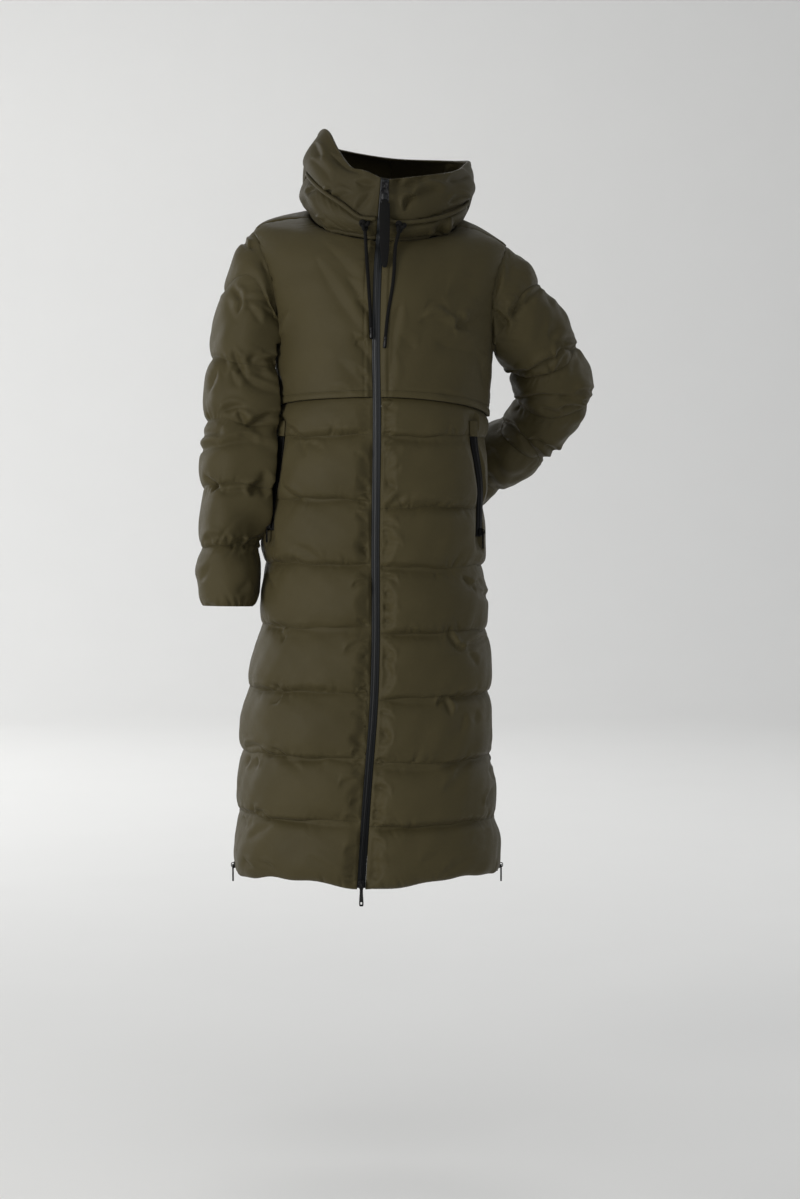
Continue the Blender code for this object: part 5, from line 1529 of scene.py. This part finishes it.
def overhand_knot(word, centre, along, radius):
    """Overhand knot pulled small: a trefoil of cord round the cord's own line."""
    run = unit(np.asarray(along, dtype=float))
    side = unit(np.cross(run, (0.0, 1.0, 0.2)))
    lift = np.cross(run, side)
    t = np.linspace(0, 2 * math.pi, 91)
    x = (np.sin(t) + 1.5 * np.sin(2 * t)) / 2.5
    y = (np.cos(t) - 1.5 * np.cos(2 * t)) / 2.5
    z = -np.sin(3 * t)
    reach = (radius - CORD_RADIUS * 0.72) * 1.7
    route = (centre + side * (x * reach)[:, None] * 1.05 + run * (y * reach * 1.3)[:, None]
             + lift * (z * reach * 0.55)[:, None])
    return round_cord("knot_" + word, route, CORD_RADIUS * 1.1, BRAID, 14, closed_ends=False)


def drawcord(word, rough):
    """Free end of the drawcord: its knot, the braided cord and its metal tip."""
    route = smooth_route(rough, 0.0016)
    fine = CORD_RADIUS * (1 + 0.02 * np.sin(np.arange(len(route)) * 1.3))
    cord = round_cord("cord_" + word, route, fine, BRAID, 18)
    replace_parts(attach(cord, "coat"), "drawcord_" + word)
    coarse = smooth_route(rough, 0.013)
    start = coarse[0] - coarse[1]
    start = start / np.linalg.norm(start)
    middle = coarse[0] + start * (KNOT_RADIUS + SEAM_INSET * 2)
    knot = overhand_knot(word, middle, start, KNOT_RADIUS * KNOT_FULLNESS)
    half = start * 0.0036
    core = round_cord("knot_core_" + word, [middle + half, middle, middle - half],
                      CORD_RADIUS * 0.9, BRAID, 14)
    made_knot = joined("tied_knot_" + word, [knot, core])
    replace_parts(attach(made_knot, "coat"), "drawcord_knot_" + word)
    end = coarse[-1] - coarse[-2]
    end = end / np.linalg.norm(end)
    tip = metal_tip(word, coarse[-1] + end * (SEAM_INSET * 2), coarse[-1] + end * AGLET_LENGTH)
    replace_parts(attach(tip, "coat"), "drawcord_tip_" + word)
    return cord


def metal_tip(word, start, end):
    """Turned metal tip: rolled lip, two crimps and a domed end."""
    start = np.asarray(start)
    end = np.asarray(end)
    share = np.array((0, 0.01, 0.03, 0.06, 0.09, 0.11, 0.20, 0.235, 0.25, 0.265, 0.30, 0.34, 0.375,
                      0.39, 0.405, 0.44, 0.70, 0.86, 0.93, 0.97, 0.99, 1.0))
    size = np.array((0.80, 0.94, 1.00, 1.00, 0.97, 0.90, 0.90, 0.86, 0.80, 0.86, 0.90, 0.90, 0.86,
                     0.80, 0.86, 0.90, 0.92, 0.92, 0.84, 0.66, 0.42, 0.12))
    route = start + (end - start) * share[:, None]
    return round_cord("metal_tip_" + word, route, AGLET_RADIUS * size, METAL, 28)


tunnel()
drawcord("right", CORD_RIGHT)
drawcord("left", CORD_LEFT)


# -------------------- zip tapes
COIL_PITCH = 0.0015


def zip_tape(name, half_width, dark, light, shine):
    """Waterproof tape with the coil turned inside: its turns show as faint ribs at the middle."""
    tape = Finish(name, Specular_IOR_Level=0.08, Coat_Roughness=0.42)
    across, along = tape.along_cloth()
    off = (across - half_width).size()
    ribs = (along * (2 * math.pi / COIL_PITCH)).sine() * tape.stretch(off, 0.0018, 0.0028, 1.0, 0.0)
    # At the middle, where the two tapes meet, the colour is near black: painted shade in the slit,
    # beside a groove in the bump.
    slit = tape.stretch(off, 0.00015, 0.00045, 1.0, 0.0)
    broad = tape.noise(40.0, 3.0)
    fine = tape.noise(1400.0, 2.0)
    height = tape.node("ShaderNodeSeparateXYZ", None, {"Vector": tape.place()}, "Z")
    # The tape's colour runs from dark low on the coat to light higher up: painted shade towards the
    # hem and painted sheen towards the neck.
    flat = tape.between(tape.stretch(height, -1.05, -0.35) * 0.75 + broad * 0.25, dark, light)
    colour = tape.node("ShaderNodeMix", {"data_type": "RGBA"},
                       {0: slit, 6: flat, 7: (0.0025, 0.0025, 0.0025, 1.0)}, 2)
    connect(tape.tree, tape.shader.inputs["Coat Weight"],
            tape.stretch(height, -1.0, -0.4, 0.0, shine))
    relief = ribs * 0.22 + fine * 0.25 + broad * 0.2 - slit * 0.8
    roughness = tape.stretch(broad + fine, 0.7, 1.3, 0.38, 0.52)
    return tape.finish(colour, roughness, relief, 0.5, 0.0006)


# The main tape's light colour is bluish grey: painted sheen on its upper part.
MAIN_TAPE = zip_tape("coated_zip_tape", ZIP_HALF_WIDTH, (0.0020, 0.0022, 0.0022),
                     (0.0110, 0.0126, 0.0140), 0.42)
POCKET_TAPE_REACH = 0.0072
GARAGE_FOOT = -0.3550
GARAGE_TOP = -0.3300
SMALL_TAPE = zip_tape("black_zip_tape", POCKET_TAPE_REACH, (0.0022, 0.0022, 0.0022),
                      (0.0034, 0.0034, 0.0034), 0.0)


def finer_rows(rows, step):
    """Rows of points at even steps along smooth curves through rough rows."""
    rows = np.asarray(rows, dtype=float)
    middle = rows[:, rows.shape[1] // 2]
    way = way_along(middle)
    goals = np.linspace(0, way[-1], max(int(way[-1] / step), 2) + 1)
    slopes = np.gradient(rows, way, axis=0)
    i = np.clip(np.searchsorted(way, goals) - 1, 0, len(way) - 2)
    span = (way[i + 1] - way[i])[:, None, None]
    t = ((goals - way[i])[:, None, None]) / span
    return smooth_between(rows, slopes, i, span, t)


def tape_section(half_width):
    """Places across a tape, denser at the slit, and the height of the ridge there."""
    off = np.r_[np.linspace(-1, -0.42, 5), np.linspace(-0.34, -0.05, 5), -0.02, 0.0, 0.02,
                np.linspace(0.05, 0.34, 5), np.linspace(0.42, 1, 5)]
    metres = np.abs(off) * half_width
    ridge = ZIP_RIDGE * (1 - ease(metres, 0.0008, 0.0031)) - 0.00045 * (metres < 0.0002)
    rounded = 0.0005 * ease(np.abs(off), 0.90, 1.0)
    return (off + 1) / 2, ridge - rounded


def fine_tape(name, nodes, rows, normals, half_width, finish, lift=0.0):
    """Tape from rough rows of two edge points and a middle, and their outward directions."""
    share, ridge = tape_section(half_width)
    stack = finer_rows(np.concatenate((rows, normals), axis=1), 0.0025)
    edge, middle, far = stack[:, 0], stack[:, 1], stack[:, 2]
    outward = unit(stack[:, 3])[:, None]
    first = np.where(share < 0.5, share * 2, share * 2 - 1)[None, :, None]
    base = np.where((share < 0.5)[None, :, None], mix(edge[:, None], middle[:, None], first),
                    mix(middle[:, None], far[:, None], first))
    outer = base + outward * (lift + ZIP_THICKNESS - ZIP_SINK + ridge)[None, :, None]
    inner = base + outward * (lift - ZIP_SINK)
    made = shell(name, outer, np.broadcast_to(inner, outer.shape), [finish], coarse=2)
    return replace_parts(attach(made, "coat"), *nodes)


def tape_rows(surface, levels, edges):
    """Rows of two edge points and a middle along a surface, and their outward directions."""
    rows = []
    normals = []
    for level in levels:
        first, last = edges(level)
        turn = np.array((first, (first + last) / 2, last), dtype=float)
        rows.append(surface(turn, np.full(3, float(level))))
        normals.append(normal_of(surface, turn[1:2], np.full(1, float(level))))
    return np.array(rows), np.array(normals)


def main_zip():
    """Closed main zip from the hem to just under the hood's edge."""
    def beside_zip(surface):
        return lambda level: [float(zip_edge(surface, level, side)) for side in (-1, 1)]
    low = [level_of(height) for height in np.linspace(HEM_HEIGHT + 0.001, -0.30, 16)]
    stretches = [tape_rows(body, low + [0.0, 0.2, 0.4, 0.6, 0.8, 0.96], beside_zip(body)),
                 tape_rows(collar_band, (0.1, 0.5, 0.9), beside_zip(collar_band)),
                 tape_rows(hood, (0.1, 0.4, 0.7, 0.97), beside_zip(hood))]
    rows, normals = (np.concatenate([stretch[i] for stretch in stretches]) for i in (0, 1))
    fine_tape("main_zip", ["main_zip_tape"], rows, normals, ZIP_HALF_WIDTH, MAIN_TAPE)


def vent_zip(word, side):
    """Zip up the side seam from the hem."""
    def beside_seam(level):
        height = ARMPIT_HEIGHT + level
        front = float(side_turn(VENT_HALF_WIDTH, height, True))
        back = float(side_turn(VENT_HALF_WIDTH, height, False))
        return (math.pi - back, math.pi + front) if side < 0 else (-front, back)
    levels = [level_of(height) for height in np.linspace(HEM_HEIGHT + 0.001, VENT_TOP, 6)]
    rows, normals = tape_rows(body, levels, beside_seam)
    fine_tape("vent_zip_" + word, ["vent_zip_" + word], rows, normals, VENT_HALF_WIDTH, SMALL_TAPE)


def pocket_rows(pocket, low, high, half_width, side, reach):
    """Rows of a strip down a pocket, at even steps of height."""
    rows = []
    normals = []
    for height in np.linspace(high, low, 16):
        across = float(column(pocket, ("height", "across"), "across", np.float64(height)))
        level = np.float64(level_of(height))
        middle = float(turn_where(body, across, level))
        pace = np.linalg.norm(body(middle + 0.001, level) - body(middle - 0.001, level)) / 0.002
        turns = middle + side * np.array((1, 0, -1)) * half_width / pace
        normal = normal_of(body, turns[1:2], np.full(1, level))
        rows.append(body(turns, np.full(3, level)) + normal * np.array(reach)[:, None])
        normals.append(normal)
    return np.array(rows), np.array(normals)


def pocket(word, side, table, low):
    """Zipped pocket: the tape in its welted slit and the cloth garage over its top end."""
    seat = (0.0050, 0.0028, 0.0006)
    rows, normals = pocket_rows(table, low, GARAGE_FOOT - 0.0005, POCKET_TAPE_REACH, side, seat)
    fine_tape("pocket_zip_tape_" + word, ["pocket_zip_" + word], rows, normals,
              POCKET_TAPE_REACH, SMALL_TAPE, ZIP_SINK)
    rows, normals = pocket_rows(table, GARAGE_FOOT, GARAGE_TOP, POCKET_TAPE_REACH, side, seat)
    stack = finer_rows(np.concatenate((rows, normals), axis=1), 0.0012)
    outward = unit(stack[:, 3])[:, None]
    share = np.linspace(-1, 1, 15)
    lip = 0.0007 * np.sin(math.pi * np.clip((share + 1) / 2, 0, 1)) ** 0.5
    base = np.where((share < 0)[None, :, None],
                    mix(stack[:, 1:2], stack[:, 0:1], -share[None, :, None]),
                    mix(stack[:, 1:2], stack[:, 2:3], share[None, :, None]))
    end = np.minimum(np.arange(len(stack)), np.arange(len(stack))[::-1])
    fold = 0.0006 * np.exp(-((end - 2) / 1.5) ** 2)[:, None]
    outer = base + outward * (ZIP_THICKNESS + lip[None, :] + fold)[..., None]
    made = shell("pocket_garage_cloth_" + word, outer, base + outward * 0.0002, [SHELL])
    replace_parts(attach(made, "coat"), "pocket_garage_" + word)


# -------------------- sliders, pulls and the strap
PULL_AXIS_DEPTH = 0.00545
PULL_THICKNESS = {"top": 0.0014, "hem": 0.0014, "pocket": 0.0016, "vent": 0.0026}
STRAP_THICKNESS = 0.0024
# Place of the axis that each pull hangs on, and the level direction it faces.
HARDWARE = {
    "top": ((0.01698, -0.14665, 0.04004), (0.0, -1.0, 0.0)),
    "hem": ((-0.02026, -0.18360, -1.06800), (0.0, -1.0, 0.0)),
    "pocket_right": ((-0.17474, -0.07647, -0.49904), (-0.9003, -0.4353, 0.0)),
    "pocket_left": ((0.17603, -0.06519, -0.50940), (0.9357, -0.3529, 0.0)),
    "vent_right": ((-0.23624, 0.0, -1.06400), (-1.0, 0.0, 0.0)),
    "vent_left": ((0.20912, 0.0, -1.06400), (1.0, 0.0, 0.0)),
}
# Half outlines, from the top down: height and half width; a slider's as shares of its half size.
SLIDER_OUTLINE = ((1.0, 0.42), (0.72, 1.0), (0.10, 1.0), (-0.85, 0.78), (-1.0, 0.60))
SMALL_PULL = ((0.0010, 0.0027), (-0.0062, 0.0027), (-0.0080, 0.0018), (-0.0180, 0.0018),
              (-0.0230, 0.0023), (-0.0262, 0.0023), (-0.0275, 0.0015))
HEM_PULL = ((0.0010, 0.0032), (-0.0062, 0.0032), (-0.0085, 0.0024), (-0.0250, 0.0034),
            (-0.0300, 0.0036), (-0.0330, 0.0034), (-0.0345, 0.0024))
TOP_PULL = ((0.0010, 0.0046), (-0.0060, 0.0046), (-0.0090, 0.0070), (-0.0235, 0.0070),
            (-0.0255, 0.0064))
STRAP = ((-0.0258, 0.0070), (-0.0300, 0.0085), (-0.0900, 0.0080), (-0.1180, 0.0055),
         (-0.1270, 0.0036), (-0.1290, 0.0020))


def rounded(outline, times=3):
    """Closed outline with its corners cut to a curve."""
    outline = np.asarray(outline, dtype=float)
    for _ in range(times):
        ahead = np.roll(outline, -1, axis=0)
        outline = np.stack((outline * 0.78 + ahead * 0.22, outline * 0.22 + ahead * 0.78), axis=1)
        outline = outline.reshape(-1, 2)
    return outline


def tab_outline(rows):
    """Closed outline of a tab that is the same on both sides."""
    right = [(half, height) for height, half in rows]
    return right + [(-half, height) for height, half in reversed(rows)]


def window(half, top, bottom):
    """Square opening in a pull."""
    return [(half, top), (half, bottom), (-half, bottom), (-half, top)]


PULL_EYE = window(0.0017, -0.0010, -0.0062)


def pressed(name, outlines, thickness, edge, finish):
    """Flat part with softly rounded edges and windows, from outlines of across and height."""
    line = bpy.data.curves.new(name, "CURVE")
    line.dimensions = "2D"
    line.fill_mode = "BOTH"
    line.extrude = thickness / 2 - edge
    line.bevel_depth = edge
    line.bevel_resolution = 3
    line.offset = -edge
    for outline in outlines:
        spline = line.splines.new("POLY")
        spline.points.add(len(outline) - 1)
        for knot, (x, z) in zip(spline.points, outline):
            knot.co = (x, z, 0.0, 1.0)
        spline.use_cyclic_u = True
    line.materials.append(finish)
    rough = placed(name, line)
    mesh = plain_mesh(rough)
    bpy.data.objects.remove(rough, do_unlink=True)
    bpy.data.curves.remove(line)
    for v in mesh.vertices:
        v.co = (v.co.x, -v.co.z, v.co.y)
    turned_out(mesh, 1e-6)
    mesh.name = name
    mesh.shade_smooth()
    return placed(name, mesh)


def swept_bar(name, route, half_width, half_height, finish):
    """Bar of rounded section along a route in the plane of depth and height."""
    route = smooth_route(route, 0.0004)
    run = unit(np.gradient(route, axis=0))
    side = np.array((1.0, 0.0, 0.0))
    lift = np.cross(run, side)
    angle = np.linspace(0, 2 * math.pi, 21)[:-1]
    x = half_width * signed_power(np.cos(angle), 0.6)
    y = half_height * signed_power(np.sin(angle), 0.6)
    rings = route[:, None] + side * x[None, :, None] + lift[:, None] * y[None, :, None]
    number, faces = tube_faces(*rings.shape[:2])
    faces += [number[0, ::-1].tolist(), number[-1].tolist()]
    made = make_object(name, rings.reshape(-1, 3), faces, [finish])
    turned_out(made.data)
    return made


def in_depth(*places):
    """Route at the middle, from places of depth and height."""
    return [(0, depth, height) for depth, height in places]


def seat_at(pieces, key):
    """Move parts from their own axes to a slider's place; their mesh takes the move."""
    place, outward = HARDWARE[key]
    turn = math.atan2(outward[0], -outward[1])
    c, s = math.cos(turn), math.sin(turn)
    for piece in pieces:
        for v in piece.data.vertices:
            x, y, z = v.co
            v.co = (place[0] + c * x - s * y, place[1] + s * x + c * y, place[2] + z)
        piece.data.update()
    return pieces


def slider(name, node, key, half_width, half_length):
    """Slider: a wing plate, a rail along each side of it and the arch on top."""
    shape = tab_outline([(half_length * z, half_width * x) for z, x in SLIDER_OUTLINE])
    wing = pressed(name + "_wing", [rounded(shape, 2)], 0.0026, 0.0006, METAL)
    for v in wing.data.vertices:
        v.co.y += PULL_AXIS_DEPTH - 0.0027
    heights = np.linspace(half_length * 0.74, -half_length * 0.8, 7)
    rails = [swept_bar(name + "_rail", [(side * half_width * 0.80, PULL_AXIS_DEPTH - 0.0010, z)
                                        for z in heights], 0.0009, 0.0010, METAL)
             for side in (-1, 1)]
    foot, knee = half_length * 0.62, half_length * 0.60
    arch = swept_bar(name + "_arch", in_depth((0.0022, -foot), (-0.0010, -knee), (-0.0025, -0.0021),
                                              (-0.0026, 0.0), (-0.0025, 0.0021), (-0.0010, knee),
                                              (0.0022, foot)), 0.0011, 0.0007, METAL)
    made = joined(name, seat_at([wing, arch] + rails, key))
    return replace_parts(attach(made, "coat"), node)


def pull(name, node, key, body_name, rows, windows):
    """Pressed pull with its windows, hanging from the slider's axis."""
    outlines = [rounded(outline, 3) for outline in [tab_outline(rows)] + windows]
    tab = pressed(name, outlines, PULL_THICKNESS[key.split("_")[0]], 0.0004, METAL)
    made = seat_at([tab], key)[0]
    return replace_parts(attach(made, body_name), node)


def strap():
    """Flat moulded strap folded over the pull's lower bar, its face left bare."""
    outline = rounded(tab_outline(STRAP), 2)
    face = pressed("strap_body", [outline], STRAP_THICKNESS, 0.0007, STRAP_FINISH)
    loop = swept_bar("strap_fold", in_depth((0.0008, -0.0285), (0.0012, -0.0262), (0.0010, -0.0232),
                                            (0.0, -0.0218), (-0.0010, -0.0232), (-0.0012, -0.0262),
                                            (-0.0008, -0.0285)), 0.0048, 0.00028, STRAP_FINISH)
    made = joined("pull_strap", seat_at([face, loop], "top"))
    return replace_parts(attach(made, "top_pull"), "main_zip_strap")


def hardware():
    slider("zip_head_top", "main_zip_top_slider", "top", 0.0055, 0.0070)
    slider("zip_head_hem", "main_zip_hem_slider", "hem", 0.0050, 0.0065)
    pull("metal_pull_top", "main_zip_top_pull", "top", "top_pull", TOP_PULL,
         [PULL_EYE, window(0.0052, -0.0120, -0.0225)])
    strap()
    pull("metal_pull_hem", "main_zip_hem_pull", "hem", "hem_pull", HEM_PULL,
         [PULL_EYE, window(0.0014, -0.0275, -0.0315)])
    for kind in ("pocket", "vent"):
        for word in ("right", "left"):
            key = kind + "_" + word
            slider("zip_head_" + key, kind + "_slider_" + word, key, 0.0040, 0.0055)
            pull("metal_pull_" + key, kind + "_pull_" + word, key, word + "_" + kind + "_pull",
                 SMALL_PULL, [PULL_EYE])


main_zip()
vent_zip("right", -1)
vent_zip("left", 1)
pocket("right", -1, POCKET_RIGHT, -0.5070)
pocket("left", 1, POCKET_LEFT, -0.5170)
hardware()


# -------------------- stitching
def stitch_tree():
    """Geometry Nodes: lines of points in, evenly spaced stitches of thread out."""
    tree = bpy.data.node_groups.new("stitches_along_lines", "GeometryNodeTree")
    face = tree.interface
    face.new_socket("Lines", in_out="INPUT", socket_type="NodeSocketGeometry")
    for name, value in (("Stitch pitch", 0.0032), ("Stitch length", 0.0026),
                        ("Thread thickness", 0.0007)):
        face.new_socket(name, in_out="INPUT", socket_type="NodeSocketFloat").default_value = value
    face.new_socket("Stitches", in_out="OUTPUT", socket_type="NodeSocketGeometry")

    def node(kind, settings=None, **values):
        made = tree.nodes.new(kind)
        for name, value in (settings or {}).items():
            setattr(made, name, value)
        for name, value in values.items():
            link(value, made.inputs[name.replace("_", " ")])
        return made

    def link(value, socket):
        if isinstance(value, bpy.types.NodeSocket):
            tree.links.new(value, socket)
        else:
            socket.default_value = value

    given = tree.nodes.new("NodeGroupInput")
    line = node("GeometryNodeMeshToCurve", Mesh=given.outputs["Lines"])
    spaced = node("GeometryNodeResampleCurve", {"mode": "LENGTH"}, Curve=line.outputs["Curve"],
                  Length=given.outputs["Stitch pitch"])
    tangent = node("GeometryNodeInputTangent")
    turned = node("FunctionNodeAlignRotationToVector", {"axis": "Z"},
                  Vector=tangent.outputs["Tangent"])
    bead = node("GeometryNodeMeshUVSphere", Segments=5, Rings=4, Radius=0.5)
    size = node("ShaderNodeCombineXYZ", X=given.outputs["Thread thickness"],
                Y=given.outputs["Thread thickness"], Z=given.outputs["Stitch length"])
    sewn = node("GeometryNodeInstanceOnPoints", Points=spaced.outputs["Curve"],
                Instance=bead.outputs["Mesh"], Rotation=turned.outputs["Rotation"],
                Scale=size.outputs["Vector"])
    plain = node("GeometryNodeRealizeInstances", Geometry=sewn.outputs["Instances"])
    soft = node("GeometryNodeSetShadeSmooth", Geometry=plain.outputs["Geometry"])
    dyed = node("GeometryNodeSetMaterial", Geometry=soft.outputs["Geometry"], Material=THREAD)
    result = tree.nodes.new("NodeGroupOutput")
    tree.links.new(dyed.outputs["Geometry"], result.inputs["Stitches"])
    return tree


def sew(name, lines, tree, pitch, length, thickness):
    """Plain mesh of the stitches along lines of points."""
    places = settled(np.vstack(lines))
    edges = []
    start = 0
    for line in lines:
        edges += [(start + i, start + i + 1) for i in range(len(line) - 1)]
        start += len(line)
    mesh = bpy.data.meshes.new(name + "_lines")
    mesh.from_pydata([tuple(p) for p in places], edges, [])
    made = placed(name, mesh)
    sewing = made.modifiers.new("sewing", "NODES")
    sewing.node_group = tree
    sockets = {item.name: item.identifier for item in tree.interface.items_tree
               if item.item_type == "SOCKET" and item.in_out == "INPUT"}
    sewing[sockets["Stitch pitch"]] = pitch
    sewing[sockets["Stitch length"]] = length
    sewing[sockets["Thread thickness"]] = thickness
    stitches = plain_mesh(made)
    made.modifiers.clear()
    made.data = stitches
    bpy.data.meshes.remove(mesh)
    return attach(made, "coat")


tree = stitch_tree()
sew("quilting_thread", SEAMS, tree, 0.0040, 0.0032, 0.0006)
sew("top_stitching", TOP_SEAMS, tree, 0.0036, 0.0029, 0.0006)


# -------------------- floor, light and camera
FLOOR_HEIGHT = -1.511
EYE = (0.04125, -4.2, -0.411)
EYE_TILT = math.radians(2.89)
LENS = 76.4
STAGE_HALF_WIDTH = 12.0
STAGE_FRONT = -12.0
STAGE_BACK = 10.0
STAGE_SWEEP = 3.0
STAGE_TOP = 9.0


def backdrop():
    """Seamless paper: a floor that sweeps up into the wall behind."""
    profile = [(STAGE_FRONT, FLOOR_HEIGHT)]
    for step in np.linspace(0, math.pi / 2, 25):
        profile.append((STAGE_BACK - STAGE_SWEEP + STAGE_SWEEP * math.sin(step),
                        FLOOR_HEIGHT + STAGE_SWEEP * (1 - math.cos(step))))
    profile.append((STAGE_BACK, STAGE_TOP))
    places = [(x, y, z) for y, z in profile for x in (-STAGE_HALF_WIDTH, STAGE_HALF_WIDTH)]
    faces = [(2 * i, 2 * i + 1, 2 * i + 3, 2 * i + 2) for i in range(len(profile) - 1)]
    paper = Finish("studio_paper", Specular_IOR_Level=0.1)
    fibre = paper.noise(3.0, 4.0)
    colour = paper.between(fibre, (0.790, 0.785, 0.768), (0.810, 0.805, 0.788))
    finish = paper.finish(colour, paper.stretch(fibre, 0.3, 0.7, 0.85, 0.95), fibre, 0.05, 0.001)
    make_object("studio_backdrop", places, faces, [finish])


def lamp(name, place, aim, size, power, colour=(1.0, 1.0, 1.0)):
    """Soft rectangular light at a place, turned towards its aim."""
    light = bpy.data.lights.new(name, "AREA")
    light.shape = "RECTANGLE"
    light.size, light.size_y = size
    light.energy = power
    light.color = colour
    made = placed(name, light)
    made.location = place
    made.rotation_euler = (Vector(aim) - Vector(place)).to_track_quat("-Z", "Y").to_euler()


def studio():
    backdrop()
    middle = (0.03, 0.0, -0.5)
    lamp("key_softbox", (-2.9, -2.7, -0.15), middle, (1.5, 2.0), 86, (1.0, 0.985, 0.955))
    lamp("fill_softbox", (2.8, -2.6, 0.2), middle, (1.8, 2.4), 4, (0.98, 0.99, 1.0))
    lamp("top_softbox", (-0.6, -0.6, 3.0), middle, (2.6, 2.2), 7)
    lamp("front_fill", (0.5, -4.4, 0.30), (0.05, 0.0, 0.0), (0.5, 0.5), 10)
    lamp("back_softbox_left", (3.9, 2.7, 0.5), middle, (1.6, 2.2), 20)
    lamp("back_softbox_right", (-3.9, 2.7, 0.5), middle, (1.6, 2.2), 62)
    lamp("wall_wash", (-4.6, 4.6, 1.2), (-0.4, STAGE_BACK, -0.6), (1.6, 2.6), 135)
    lamp("floor_wash", (-0.4, 4.6, 3.4), (-0.4, 5.0, FLOOR_HEIGHT), (2.4, 1.6), 62)
    world = bpy.data.worlds.new("studio_air")
    world.use_nodes = True
    air = world.node_tree.nodes["Background"].inputs
    air["Color"].default_value = (0.95, 0.97, 1.0, 1.0)
    air["Strength"].default_value = 0.46
    bpy.context.scene.world = world


def camera():
    lens = bpy.data.cameras.new("camera")
    lens.sensor_width = 36
    lens.lens = LENS
    made = placed("camera", lens)
    made.location = EYE
    made.rotation_euler = (math.pi / 2 - EYE_TILT, 0, 0)
    bpy.context.scene.camera = made


studio()
camera()
bpy.context.scene.view_settings.view_transform = "Standard"
